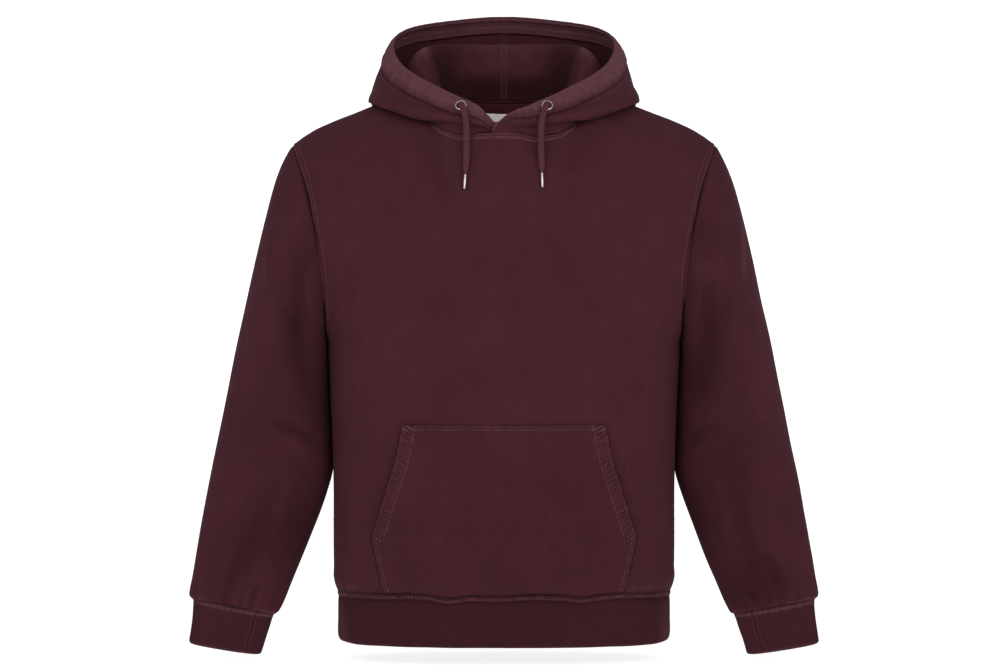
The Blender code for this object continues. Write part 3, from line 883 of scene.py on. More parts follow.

# %% [markdown]
# ## Sleeves and cuffs
#
# A sleeve is a tube of rings, wide and deep at the armhole and narrow at the wrist, with a slight
# bend. Its creases lie where an arm would bend it: long troughs down the inside of the upper arm
# and short curved ones at the elbow. The front ones and back ones differ, so each table is read
# only where the cloth faces that way. The last table holds painted highlights along pale crease
# lines on the upper sleeves.
#
# A cuff is rib knit: close ridges side by side all round it, each running from seam to end. They
# are real relief, about 3 mm from ridge to ridge.

# %% Creases of the sleeves
LEFT_SLEEVE_CREASES = {
    "x0": (-303, -292, -281, -262, -345, -300, -318, -330, -268, -310, -300),
    "z0": (-132, -404, -424, -235, -470, -505, -300, -560, -470, -608, -612),
    "x1": (-306, -231, -236, -236, -364, -330, -326, -352, -290, -323, -314),
    "z1": (-222, -434, -452, -405, -560, -606, -380, -615, -540, -634, -636),
    "width": (6, 7, 7, 17, 11, 12, 16, 8, 9, 3.5, 4),
    "height": (0.8, -1.5, 0.7, -1.7, 0.6, -0.8, 0.9, -0.8, 0.7, -1.1, 0.5),
    "bow": (2, -5, -5, 6, 3, 4, 3, 2, 3, 2, 1),
}
RIGHT_SLEEVE_CREASES = {
    "x0": (302, 274, 258, 268, 345, 288, 322, 330, 262, 308, 318),
    "z0": (-130, -153, -240, -405, -470, -495, -300, -565, -462, -616, -610),
    "x1": (305, 297, 235, 231, 368, 322, 330, 356, 286, 322, 332),
    "z1": (-232, -168, -412, -440, -572, -612, -390, -618, -530, -632, -630),
    "width": (5, 4, 18, 8, 12, 12, 15, 8, 9, 3.5, 4),
    "height": (0.9, -1.1, -1.7, -1.1, -0.7, -0.9, 0.8, -0.8, 0.7, -1.2, 0.5),
    "bow": (-2, 1, -6, 5, -3, -4, -3, -2, -3, -2, -1),
}
SLEEVE_BACK_CREASES = {
    "x0": (262, 300, 290, 340, 285, 318),
    "z0": (-230, -150, -380, -400, -480, -540),
    "x1": (240, 305, 345, 350, 320, 352),
    "z1": (-390, -260, -402, -470, -560, -612),
    "width": (16, 8, 8, 12, 12, 9),
    "height": (-1.7, 0.8, -1.7, 0.8, -1.3, -0.9),
    "bow": (-5, -3, 8, -4, -5, -3),
}
# Painted highlights along the crease lines of the upper sleeves.
SLEEVE_CREASE_HIGHLIGHTS = {
    "x0": (301, 274, 246, 296),
    "z0": (-128, -140, -205, -242),
    "x1": (302, 268, 240, 290),
    "z1": (-238, -262, -268, -296),
    "width": (3.4, 4.0, 4.0, 4.0),
    "height": (0.5, 0.22, 0.2, 0.22),
    "bow": (-2, -4, -3, 1),
}

# %% Sew the sleeves
ARMS = (("left", -1, 51, LEFT_SLEEVE_CREASES), ("right", 1, 71, RIGHT_SLEEVE_CREASES))
SLEEVE_TURNS = 108
UNDERARM_TURN = 180
MM_PER_DEGREE = 1.1
CUFF_RISE = 5.0
CUFF_RISE_FROM = 0.966
UP_THE_ARM = np.array((-0.3, 0, 0.95))
sleeves = {}
for name, side, seed, front_table in ARMS:
    along = dense(150, low=8, high=16, share=0.04)
    along_at, turned_at = grid(along, np.linspace(0, 360, SLEEVE_TURNS, endpoint=False))
    points = sleeve_ring(turned_at, along_at)
    points[..., 0] += 2 * SEAM_GAP * (1 - ease(along_at / 0.2))
    rise = CUFF_RISE * (0.45 + 0.55 * np.sin(np.radians(turned_at)) ** 2)
    rise = rise * ease((along_at - CUFF_RISE_FROM) / (1 - CUFF_RISE_FROM))
    points += rise[..., None] * UP_THE_ARM
    points[..., 0] *= side
    cloth = Cloth(points, wrap=True, flip=side < 0)
    from_armhole = cloth.down
    from_cuff = cloth.down[-1] - cloth.down
    x, z = points[..., 0], points[..., 2]
    facing_front = np.clip(np.sin(np.radians(turned_at)) * 1.4, 0, 1)
    facing_back = np.clip(-np.sin(np.radians(turned_at)) * 1.4, 0, 1)
    mirrored = points * (side, 1, 1)
    arc = turned_at * MM_PER_DEGREE
    from_underarm = turned_at - UNDERARM_TURN
    height = facing_front * creases(points, front_table)
    height += facing_back * creases(mirrored, SLEEVE_BACK_CREASES)
    height += 0.6 * ease(from_armhole / 30) * swell(cloth.across, z, seed, 110)
    under = bump(from_underarm, 28)
    height += -1.1 * bump(from_armhole, 2.2) * (1 - under) + 0.6 * under * bump(z - ARMPIT_Z, 14)
    height += 0.5 * puckers(arc, from_armhole, seed + 1, 13.0, 14.0)
    height += 1.2 * bump(from_cuff - 4.0, 4.0)
    height += 1.3 * puckers(arc * 0.6, from_cuff - 6, seed + 2, 11.0, 13.0) * ease(from_cuff / 4)
    height += -0.25 * bump(from_underarm, 1.6)
    cloth.raise_by(height)
    cloth.lengthen(1.2)
    # The pale at the cuff seam is rubbed wear. The pale on crease ridges is partly wear and partly
    # painted highlight, and the crease troughs get painted shade. Painted shade also darkens the
    # whole sleeve, more on its front, on its inner side and beside the body, and the crease table
    # adds painted highlights.
    shade_inside_arm = ease((turned_at - 95) / 60) * ease((265 - turned_at) / 60)
    shade_beside_body = bump(np.abs(x) - 228, 7) * ease((z + 500) / 60) * ease((-150 - z) / 80)
    cloth.wear_and_painted_light = 0.45 * broken_wear(from_cuff - 3, arc, seed, 12)
    cloth.wear_and_painted_light += 0.36 * np.clip(height, 0, 2) + 0.2 * np.clip(height, -2.5, 0)
    cloth.wear_and_painted_light -= 0.13 + 0.03 * shade_inside_arm + 0.05 * shade_beside_body
    cloth.wear_and_painted_light -= 0.24 * bump(turned_at - 92, 30)
    cloth.wear_and_painted_light -= 0.16 * bump(turned_at - 140, 34) * ease((-450 - z) / 90)
    cloth.wear_and_painted_light += facing_front**2 * creases(mirrored, SLEEVE_CREASE_HIGHLIGHTS)
    cloth.piece = sew("sleeve_shell_" + name, cloth, FLEECE, fleece)
    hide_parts("sleeve_" + name)
    sleeves[name] = cloth
    print("sleeve", name, cloth.points.shape)

# %% Knit the cuffs
RIB_PITCH = 3.1
RIB_RELIEF = 0.22
RIM_SINK = 4.5
CUFF_TURNS = 372
CUFF_STRIP = 5.6
CUFF_ROW = 4.6
CUFF_SEAM_TURN = 126
cuffs = {}
for name, side, seed, _ in ARMS:
    along = dense(15, low=7, high=8, share=0.09)
    along_at, turned_at = grid(along, np.linspace(0, 360, CUFF_TURNS, endpoint=False))
    points = sleeve_ring(turned_at, along_at, CUFF)
    points += ((1 - along_at) ** 2 * CUFF_RISE)[..., None] * UP_THE_ARM
    points[..., 0] *= side
    cuff = Cloth(points, wrap=True, flip=side < 0)
    girth = cuff.across[:, -1:] + np.linalg.norm(points[:, -1] - points[:, 0], axis=1)[:, None]
    ribs = np.round(girth[0, 0] / RIB_PITCH)
    from_seam = cuff.down
    from_end = cuff.down[-1] - cuff.down
    arc = cuff.across / girth * girth[0, 0]
    relief = RIB_RELIEF * np.cos(2 * math.pi * ribs * cuff.across / girth)
    beside = np.abs((turned_at - CUFF_SEAM_TURN) * girth[0, 0] / 360)
    height = relief * ease(from_seam / 5) * ease(from_end / 3) * ease(beside / 4)
    height += 0.8 * ease(from_seam / 1.2) * (1 - ease((from_seam - CUFF_STRIP) / 2))
    height += -0.7 * bump(from_seam - CUFF_ROW, 1.0) - 0.9 * bump(from_seam, 1.4)
    height += 0.7 * puckers(arc, from_seam - 3, seed + 4, 9.0, 9.0)
    height += -0.8 * bump(beside, 1.3) + 0.3 * bump(beside - 3, 1.6)
    height += 0.5 * puckers(from_seam, beside, seed + 9, 11.0, 7.0)
    height += 0.35 * swell(arc, cuff.down, seed + 5, 40) - RIM_SINK * rolled(from_end, RIM_SINK)
    cuff.raise_by(height)
    cuff.lengthen(1.6)
    # The pale strip and the pale end are wear. The dark lines at the seam and beside the side seam
    # are painted shadow.
    cuff.wear_and_painted_light = strip_wear(from_seam, arc, seed + 6, CUFF_STRIP) - 0.45 * bump(from_seam, 1.6) + 0.2
    cuff.wear_and_painted_light += 0.3 * bump(from_end - 1, 2.0) - 0.3 * bump(beside, 1.0)
    cuff.piece = sew("cuff_shell_" + name, cuff, RIB - 0.3, rib)
    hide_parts("cuff_" + name)
    cuffs[name] = cuff
    print("cuff", name, cuff.points.shape, "ribs:", int(ribs))

# %% [markdown]
# ## The rib at the hem
#
# One ring of rib knit, a little smaller than the body above it, so it pulls the hem in. Its samples
# are spread evenly by length round the ring, so the ribs keep one width. The body's turned-in edge
# lies behind the first few millimetres and is stitched down, which leaves a raised strip there.

# %% Ring of the hem rib
def band_ring(turned, z):
    """A point of the rib's ring. turned is 0 in the middle of the front, in radians."""
    power = 2 / SQUARENESS
    sine, cosine = np.sin(turned), np.cos(turned)
    front = table_at(BAND, "z", "front", z)
    depth = np.where(cosine > 0, front, table_at(BAND, "z", "back", z))
    x = table_at(BAND, "z", "half_width", z) * np.sign(sine) * np.abs(sine) ** power
    return np.stack([x, -depth * np.sign(cosine) * np.abs(cosine) ** power, z], -1)


RIBS_COUNTED_AT = -650.0
SAMPLES_A_RIB = 3
fine_turns = np.linspace(0, 2 * math.pi, 8001)
fine_ring = band_ring(fine_turns, np.full_like(fine_turns, RIBS_COUNTED_AT))
fine_run = lengths(fine_ring[None], 1)[0]
band_girth = fine_run[-1]
band_ribs = round(band_girth / RIB_PITCH)
run = np.linspace(0, band_girth, SAMPLES_A_RIB * band_ribs, endpoint=False)
levels = 1 - dense(14, low=13, high=7, share=0.13)
z_at, turned_at = grid(
    BAND["z"][0] + (BAND["z"][-1] - BAND["z"][0]) * levels, np.interp(run, fine_run, fine_turns)
)
band = Cloth(band_ring(turned_at, z_at), wrap=True, flip=True)
arc = np.broadcast_to(run, z_at.shape)
print("hem rib:", band.points.shape, "ribs:", band_ribs)

# %% Sew the hem rib
BAND_STRIP = 7.0
BAND_ROWS = (1.7, 5.6)
CORNER_SINK = 5.0
# Where the seam is gathered in close ticks, and how strongly.
GATHERS = {
    "x": (-168, -112, -21, 46, 122, 156, 196),
    "width": (6, 12, 10, 15, 9, 8, 7),
    "strength": (0.3, 0.9, 0.8, 0.9, 1.0, 0.9, 0.3),
}
GATHER_PITCH = 4.1
x = band.points[..., 0]
from_seam = band.down
from_end = band.down[-1] - band.down
in_front = np.cos(turned_at) > 0
gathers = bumps(GATHERS, np.where(in_front, x, -x))
ticks = np.cos(2 * math.pi * arc / GATHER_PITCH + drift(arc, 94, 30)) * gathers
relief = RIB_RELIEF * np.cos(2 * math.pi * band_ribs * arc / band_girth)
height = relief * ease((from_seam - BAND_STRIP) / 3) * ease(from_end / 4)
height += 1.2 * ease(from_seam / 1.5) * (1 - ease((from_seam - BAND_STRIP + 0.6) / 1.6))
height += -1.0 * bump(from_seam, 1.2) - 0.8 * bump(from_seam - BAND_STRIP - 1.2, 1.3)
height += -0.55 * sum(bump(from_seam - row, 0.9) for row in BAND_ROWS)
height += 0.35 * puckers(arc, from_seam - 3, 91, 9.0, 8.0)
on_strip = bump(from_seam - BAND_STRIP / 2, 3.2)
height += 1.1 * ticks * on_strip
corner = ease((np.abs(x) - 186) / 22)
height -= RIM_SINK * rolled(from_end, RIM_SINK) + CORNER_SINK * corner * rolled(from_end, 11)
height += 0.5 * swell(arc, z_at, 92, 90)
sag = np.where(in_front, hem_dip(x, -1), hem_dip(x, 1)) - HEM_RISE
band.raise_by(height)
band.points[..., 2] -= sag * ease(1 - from_seam / 40)
# The pale strip and end are wear. The gathers' ticks paint light on their ridges and shade in their
# troughs, the dark lines at the seam and below the strip are painted shadow, the rib is a little
# darker about 15 mm below the seam, and the paler corners are a painted highlight where the rib
# rounds away at the sides.
pale = 0.48 * bump(from_seam - 4.3, 1.1) + 0.14 * on_strip
band.wear_and_painted_light = pale * (0.75 + 0.25 * drift(arc, 93, 14)) + 0.4 * ticks * on_strip
band.wear_and_painted_light += 0.3 * bump(from_end - 2, 2.5) - 0.55 * bump(from_seam + 0.2, 1.3)
band.wear_and_painted_light += -0.6 * bump(from_seam - BAND_STRIP - 1.4, 1.4) - 0.1 * bump(from_seam - 15, 9)
band.wear_and_painted_light += 0.3 * corner + 0.08
band.piece = sew("hem_rib", band, RIB - 0.2, rib)
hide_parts("waistband")
print("hem rib sewn, girth", round(band_girth, 1))

# %% [markdown]
# ## The hood
#
# Two halves, joined by a seam over the middle. Laid back, the cloth rises from the neck seam, folds
# over a ridge behind the neck, drops into the bag and comes up again to the opening. The opening's
# edge is folded to a deep hem, the tunnel of the drawcord, and one row of stitches closes it. That
# hem is about twice as thick as the rest, which shows on the inside as a step.
#
# The left half's front end slips under the right half's, where the two cross below the throat.

# %% Shape of the hood
def hood_profile(turn, along):
    """reach and z of the hood. along is 0 at the neck seam and 1 at the opening's edge."""
    stops, headings = np.array(HOOD_STOPS), np.array(HOOD_HEADINGS)
    leaves, arrives = np.array(HOOD_LEAVES), np.array(HOOD_ARRIVES)
    tables = [
        np.stack([table_at(HOOD, "turn", name + suffix, turn) for name in HOOD_LEVELS])
        for suffix in ("_reach", "_z")
    ]
    index = np.clip(np.searchsorted(stops, along, side="right") - 1, 0, len(stops) - 2)
    t = (along - stops[index]) / (stops[index + 1] - stops[index])
    start = [np.take_along_axis(table, index[None], 0)[0] for table in tables]
    end = [np.take_along_axis(table, index[None] + 1, 0)[0] for table in tables]
    chord = np.hypot(end[0] - start[0], end[1] - start[1])
    leaves, arrives = leaves[index] * chord, arrives[index + 1] * chord
    return [
        cubic(
            t,
            start[axis],
            headings[index, axis] * leaves,
            end[axis],
            headings[index + 1, axis] * arrives,
        )
        for axis in (0, 1)
    ]


def hood(turn, along, side=1, tuck=0):
    """A point of one half of the hood. tuck is how far its front end slips under the other's."""
    under = tuck * ease((24 - turn) / 14)
    profile_turn = turn if tuck == 0 else turn * ease((turn - 4) / 16)
    reach, z = hood_profile(profile_turn, along)
    clear = SEAM_GAP * (1 + 6 * np.exp(-(((turn - 72) / 12) ** 2))) * (1 - along)
    point = round_neck(turn, reach - under - clear + SEAM_GAP, z + clear - under * along)
    point[..., 0] = side * (point[..., 0] + SEAM_GAP / 2)
    return point


# %% Creases of the hood, and painted light and shade on its inner face
HOOD_CREASES = {
    "turn": (60, 82, 100, 128, 150, 166, 40, 112),
    "low": (0.40, 0.48, 0.55, 0.50, 0.46, 0.50, 0.52, 0.66),
    "high": (0.80, 0.86, 0.84, 0.80, 0.72, 0.78, 0.84, 0.86),
    "lean": (14, 10, -8, 12, -8, 6, 12, -6),
    "width": (4.0, 5.0, 5.0, 6.0, 6.0, 5.0, 4.5, 4.0),
    "height": (-1.1, 1.0, -1.5, -2.2, 1.8, -2.0, -0.8, 1.2),
}


def hood_creases(turn, along):
    """Creases of the hood's bag, from low to high along it, leaning by some degrees of turn."""
    total = 0
    for middle, low, high, lean, width, height in zip(*HOOD_CREASES.values()):
        t = (along - low) / (high - low)
        run = ease(t / 0.35) * ease((1 - t) / 0.35)
        total = total + height * run * bump(turn - middle - lean * (t - 0.5), width)
    return total


# The cloth rolls over behind the neck along this slanted line, seen from in front.
ROLL_X, ROLL_Z, ROLL_SLOPE = 94, 43, 0.3


def hood_inner_light_and_shade(points, on_band, along, behind_neck):
    """Painted light and shade on the hood's inner face: lighter round the band and on the roll,
    painted shade down behind the neck.
    """
    x, z = np.abs(points[..., 0]), points[..., 2]
    from_roll = x - (ROLL_X + (z - ROLL_Z) * ROLL_SLOPE)
    panel = behind_neck * (1 - ease((along - 0.2) / 0.06))
    # Painted shade in the hollow behind the neck, lighter at its top middle, and a painted
    # highlight on the roll.
    painted_hollow_shade = np.maximum(ease((x - 30) / 45), ease((66 - z) / 34)) * (1 - ease((from_roll + 12) / 8))
    tone = 0.22 - 0.78 * painted_hollow_shade + 0.3 * bump(from_roll, 6)
    return behind_neck * on_band * 0.42 + panel * tone + behind_neck * (1 - on_band - panel) * 0.1


# %% The cord's tunnel
TUNNEL = {
    "turn": (-9, 0, 15, 31, 50, 110, 180),
    "width": (4, 8, 17.5, 26, 30, 28, 26),
}
TUNNEL_THICK = 2.4


def tunnel_width(turn):
    return table_at(TUNNEL, "turn", "width", turn)


# %% Sew the hood's two halves
RIDGE_ALONG = HOOD_STOPS[1]
CROSSING_LIFT = 4.0
HOOD_RADIUS = 130
hoods = {}
for name, side, tuck in (("left", -1, FLEECE + 12 * SEAM_GAP), ("right", 1, 0)):
    turns = np.unique(np.concatenate([
        dense(128, -9.0, 180.0, low=8, high=8, share=0.03),
        np.linspace(-9, 30, 40),
    ]))
    alongs = np.unique(np.concatenate([
        dense(86, low=7, high=8, share=0.04),
        np.linspace(0.84, 0.93, 28),
    ]))
    along_at, turn_at = grid(alongs, turns)
    cloth = Cloth(hood(turn_at, along_at, side, tuck), flip=side < 0)
    from_neck = cloth.down
    from_edge = cloth.down[-1] - cloth.down
    from_seam = cloth.across[:, -1:] - cloth.across
    from_tunnel = tunnel_width(turn_at) - from_edge
    on_band = ease(from_tunnel / 2.5)
    ring = np.radians(turn_at) * HOOD_RADIUS
    seed = 111 if side < 0 else 131
    shut = ease((turn_at + 4) / 16)
    from_ridge = cloth.down - cloth.down[int(round(index_of(alongs, RIDGE_ALONG)))]
    behind_neck = ease((turn_at - 78) / 20)
    apart = ease(from_seam / 12)
    height = hood_creases(turn_at + (0 if side > 0 else 5), along_at) * shut * apart
    calm = ease(from_neck / 20) * ease(from_edge / 15)
    height += 0.7 * swell(ring, cloth.down, seed, 80) * calm * apart
    on_middle = bump(from_tunnel - 14, 10) * on_band
    gathers = apart * puckers(ring, 0, seed + 1, 12.0)
    height += shut * on_middle * (0.8 + 0.85 * gathers)
    height += shut * apart * 1.05 * puckers(ring, np.abs(from_tunnel), seed + 2, 11.0, 10.0)
    height += -1.3 * bump(from_tunnel, 1.4) * shut
    roll = 2.4 * bump(from_ridge + 1, 7) - 2.6 * bump(from_ridge + 15, 7)
    height += roll * behind_neck * (1 - 0.75 * ease((turn_at - 120) / 25))
    height += -0.9 * bump(from_seam, 1.2) - 0.5 * bump(from_seam - 4.2, 1.0)
    height += 0.35 * bump(from_seam - 2.2, 1.6)
    height += 0.3 * puckers(cloth.down, from_seam, 113, 9.0, 7.0)
    height += -0.8 * bump(from_neck, 1.6) * shut
    height += -0.7 * bump(from_edge, 1.4) * shut
    cloth.raise_by(height)
    cloth.points[..., 2] += CROSSING_LIFT * (1 - ease((turn_at + 2) / 22)) * along_at
    in_front = 1 - ease(turn_at / 70 - 0.2)
    cloth.points[..., 2] -= neck_dip(cloth.points[..., 0]) * in_front * (1 - along_at) ** 2
    cloth.points[:, -1, 0] = 0.0
    cloth.behind[:, -1, 0] = 0.0
    patches = 0.5 + 0.5 * swell(ring, cloth.down * 1.3, seed + 5, 13)
    mottled = ease(from_tunnel / 18) * (0.35 + 0.65 * patches)
    # The band's patches, edge and centre seam are rubbed pale by wear. The dark line at the
    # tunnel's stitches is painted shadow, and the pale on crease ridges is partly wear and partly
    # painted highlight.
    cloth.wear_and_painted_light = on_band * (0.26 + 0.66 * mottled) - 0.5 * bump(from_tunnel, 1.3) * shut
    cloth.wear_and_painted_light += 0.34 * bump(from_tunnel + 3.0, 1.8) * shut
    # Painted shade deep down behind the neck.
    painted_neck_shade = (1 - ease(from_neck / 75)) * (0.55 + 0.25 * ease((165 - turn_at) / 40))
    cloth.wear_and_painted_light -= 0.75 * behind_neck * painted_neck_shade * (1 - on_band)
    cloth.wear_and_painted_light += 0.8 * bump(from_edge - 1.6, 2.2) * (0.65 + 0.35 * drift(ring, seed + 6, 9))
    cloth.wear_and_painted_light += 0.55 * bump(from_seam - 1.5, 2.6) * (0.6 + 0.4 * drift(cloth.down, seed + 7, 10))
    cloth.wear_and_painted_light += 0.16 * np.clip(height, 0, 2.5)
    wall = FLEECE - 0.2 + TUNNEL_THICK * ease((from_tunnel + 0.5) / 1.5) * ease(from_edge / 4)
    # Painted light and shade of the inner face.
    cloth.lining = hood_inner_light_and_shade(cloth.points, on_band, along_at, behind_neck)
    cloth.turn_values = turns
    cloth.piece = sew("hood_half_" + name, cloth, wall, fleece)
    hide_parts("hood_" + name)
    hoods[name] = cloth
    print("hood half", name, cloth.points.shape)

# %% [markdown]
# ## The pocket
#
# A kangaroo pocket is one shaped patch with a slanted opening at each side. It is folded under and
# topstitched along its top and its lower sides, and its foot is caught in the hem's seam. The
# openings are free edges with a folded hem 16 mm wide, so they are thicker and stand off the body
# a little.

# %% Shape of the pocket
def front_depth(x, z):
    """How far forward of the side seams the front panel's plain form is."""
    width = table_at(TORSO, "z", "half_width", z)
    share = np.clip(np.abs(x) / width, 0, 1)
    return table_at(TORSO, "z", "front", z) * (1 - share**SQUARENESS) ** (1 / SQUARENESS)


def pocket_point(across, down):
    """A point of the patch. across is -1 and 1 at its sides, and down is 0 along its top."""
    half_width = np.interp(down, POCKET["down"], POCKET["half_width"])
    gape = np.interp(down, POCKET["down"], POCKET["gape"])
    x = across * half_width
    z = POCKET_TOP_Z + (HEM_Z - POCKET_TOP_Z) * down
    stand = POCKET_SEAM_GAP + gape * np.abs(across) ** 2 + 3 * np.sin(math.pi * down) ** 2
    return np.stack([x, -front_depth(x, z) - stand - FLEECE, z], -1)


# %% Sew the pocket
OPENING_DOWN = 0.655
OPENING_LEAN = math.atan2(40, 140)
POCKET_HEM = 16.0
HEM_ROWS = (11.0, 15.0)
TOP_STRIP = 5.4
TOP_ROWS = (0.9, 4.6)
TOP_RISE = 2.0
TICK_PITCH = 5.6
SIDE_STRIP = 6.2
SIDE_ROWS = (1.8, 5.4)
half = dense(44, low=0, high=20, share=0.13)
across = np.concatenate([-half[:0:-1], half])
down = dense(124, low=12, high=8, share=0.05)
down_at, across_at = grid(down, across)
pocket = Cloth(pocket_point(across_at, down_at), flip=True)
x, z = pocket.points[..., 0], pocket.points[..., 2]
half_width = np.interp(down_at, POCKET["down"], POCKET["half_width"])
slope = math.cos(OPENING_LEAN)
from_side = (half_width - np.abs(x)) * slope
from_top, from_foot = pocket.down, pocket.down[-1] - pocket.down
opening = 1 - ease((down_at - OPENING_DOWN + 0.02) / 0.03)
height = 0.5 * swell(x, z, 151, 90) * ease(from_top / 25) * ease(from_side / 25)
height += creases(pocket.points, FRONT_CREASES) * 0.9
height += topstitched(from_top, x, 152, 0.9, TOP_STRIP, TOP_ROWS)
hem = ease(from_side / 0.8) * (1 - ease((from_side - POCKET_HEM) / 2.0))
height += opening * (1.3 * hem - sum(0.8 * bump(from_side - row, 1.0) for row in HEM_ROWS))
skew = z + 0.5 * from_side
ticks = np.cos(2 * math.pi * skew / TICK_PITCH + 1.6 * drift(z, 158, 24))
ticks *= (0.6 + 0.4 * drift(z, 153, 31)) * bump(from_side - 8, 6) * opening
height += ticks
height += (1 - opening) * topstitched(from_side, z, 154, 0.9, SIDE_STRIP, SIDE_ROWS)
height += -1.0 * bump(from_foot, 2.0) + 0.6 * puckers(x, from_foot, 20, 13.0, 11.0)
pocket.raise_by(height)
pocket.points[..., 2] -= (hem_dip(x, -1) - HEM_RISE) * ease(1 - from_foot / HEM_FADE)
pocket.points[..., 2] += TOP_RISE * ease(1 - from_top / 40)
patches = 0.5 + 0.5 * swell(from_side, z, 159, 9)
# The strips and the opening hems are rubbed pale by wear. The ticks of the puckers are partly wear
# and partly painted light and shade, the dark line at the foot is painted shadow, and the whole
# patch is darkened a little with painted shade.
pocket.wear_and_painted_light = strip_wear(from_top, x, 155, TOP_STRIP) * 0.8
pocket.wear_and_painted_light += opening * (0.8 * strip_wear(from_side, z, 156, POCKET_HEM) + 0.16 * hem * patches)
pocket.wear_and_painted_light += 0.7 * ticks
pocket.wear_and_painted_light += (1 - opening) * strip_wear(from_side, z, 157, SIDE_STRIP) * 0.8
pocket.wear_and_painted_light += 0.25 * broken_wear(from_foot - 6, x, 11, 14) - 0.35 * bump(from_foot, 1.6)
pocket.wear_and_painted_light -= 0.22
pocket_wall = FLEECE - 0.3 - 0.5 * (1 - opening)
pocket.across_values, pocket.down_values = across, down
pocket.piece = sew("pocket_patch", pocket, pocket_wall, fleece)
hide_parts("kangaroo_pocket")
print("pocket:", pocket.points.shape)

# %% [markdown]
# ## Stitches
#
# The topstitching is real thread. Each line is found on the finished surface of its own cloth, so
# it follows every ripple there, and is then cut into stitches of one length, each a small arched
# capsule. The stitches of a seam are joined in one mesh.

# %% Thread
THREAD_TONES = (0.070, 0.023, 0.030, 1), (0.125, 0.050, 0.061, 1)
thread = Finish("Burgundy thread", roughness=0.6)
tone = thread.noise(thread.add("TexCoord", output=3), 60.0, 2.0)
thread.set("Base Color", thread.mix(tone, *THREAD_TONES))
STITCH_PITCH = 3.2
STITCH_LENGTH = 2.3
THREAD_RADIUS = 0.26
STITCH_RINGS = {
    "at": (0.0, 0.22, 0.5, 0.78, 1.0),
    "radius": (0.35, 0.95, 1.0, 0.95, 0.35),
    "lift": (-0.5, 0.5, 0.9, 0.5, -0.5),
}
RING_SIDES = 4


# %% Lines on a piece of cloth
def whole_numbers(first, last):
    """The grid's own rows or columns from first to last."""
    return np.arange(int(math.ceil(first)), int(math.floor(last)) + 1)


def across_line(cloth, distance, first, last, from_end=False):
    """Rows and columns of a line a set distance below the first row, or above the last."""
    columns = whole_numbers(first, last)
    insets = np.broadcast_to(distance, columns.shape)
    rows = []
    for column, inset in zip(columns % cloth.points.shape[1], insets):
        run = cloth.down[:, column]
        rows.append(index_of(run, run[-1] - inset if from_end else inset))
    return np.array(rows), columns.astype(float)


def beside_last(cloth, distance, first, last):
    """Rows and columns of a line a set distance in from the last column."""
    rows = whole_numbers(first, last)
    columns = [index_of(run, run[-1] - distance) for run in cloth.across[rows]]
    return rows.astype(float), np.array(columns)


def side_line(cloth, distance, first, last, from_end):
    """Rows and columns of a line a set distance in from the body's side, as seen from its front."""
    rows = whole_numbers(first, last)
    columns = []
    for row in rows:
        run = cloth.across[row]
        from_side = (run[-1] - run)[::-1] if from_end else run
        x = np.abs(cloth.points[row, ::-1, 0] if from_end else cloth.points[row, :, 0])
        seen = np.minimum(from_side, x[0] - x + TURNED_SHARE * from_side)
        seen = np.maximum.accumulate(seen[: len(run) // 2])
        column = index_of(seen, distance)
        columns.append(len(run) - 1 - column if from_end else column)
    return rows.astype(float), np.array(columns)


# %% Stitches along a line
FINE_STEPS = 8


def stitches_on(cloth, line, lift=0.05, inside=0.0, pitch=STITCH_PITCH, length=STITCH_LENGTH):
    """Vertices and faces of the stitches along one line. inside is the wall's thickness behind."""
    rows, columns = (np.asarray(values, float) for values in line)
    fine = np.linspace(0, len(rows) - 1, (len(rows) - 1) * FINE_STEPS + 1)
    rows, columns = (np.interp(fine, np.arange(len(rows)), values) for values in (rows, columns))
    place, normal = cloth.at(rows, columns)
    run = np.concatenate([[0], np.cumsum(np.linalg.norm(np.diff(place, axis=0), axis=1))])
    count = int(run[-1] / pitch)
    starts = (run[-1] - count * pitch) / 2 + pitch * np.arange(count) + (pitch - length) / 2
    at = starts[:, None] + np.array(STITCH_RINGS["at"]) * length
    if inside:
        place, normal = place - normal * inside, -normal
    centre = np.stack([np.interp(at, run, place[:, axis]) for axis in range(3)], -1)
    up = np.stack([np.interp(at, run, normal[:, axis]) for axis in range(3)], -1)
    along = centre[:, -1:] - centre[:, :1]
    along = along / np.linalg.norm(along, axis=-1, keepdims=True)
    side = np.cross(along, up)
    side /= np.linalg.norm(side, axis=-1, keepdims=True)
    centre = centre + up * (lift + THREAD_RADIUS * np.array(STITCH_RINGS["lift"]))[None, :, None]
    turn = np.linspace(0, 2 * math.pi, RING_SIDES, endpoint=False)
    radius = THREAD_RADIUS * np.array(STITCH_RINGS["radius"])
    offset = side[:, :, None] * np.cos(turn)[:, None] + up[:, :, None] * np.sin(turn)[:, None]
    points = centre[:, :, None] + offset * radius[None, :, None, None]
    ring = np.arange(RING_SIDES)
    quad = np.stack([ring, (ring + 1) % RING_SIDES], -1)
    faces = np.concatenate([
        np.concatenate([quad + step * RING_SIDES, quad[:, ::-1] + (step + 1) * RING_SIDES], -1)
        for step in range(len(STITCH_RINGS["at"]) - 1)
    ])
    size = RING_SIDES * len(STITCH_RINGS["at"])
    faces = (faces[None] + size * np.arange(count)[:, None, None]).reshape(-1, 4)
    return points.reshape(-1, 3), faces


def thread_object(name, parts):
    """One object from the stitches of several lines."""
    vertices, faces, used = [], [], 0
    for points, corners in parts:
        vertices.append(points)
        faces.append(corners + used)
        used += len(points)
    made = object_from(name, np.concatenate(vertices), np.concatenate(faces))
    made.data.materials.append(thread.material)
    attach(made, "root")
    print(name + ":", sum(len(corners) for corners in faces) // (4 * RING_SIDES), "stitches")


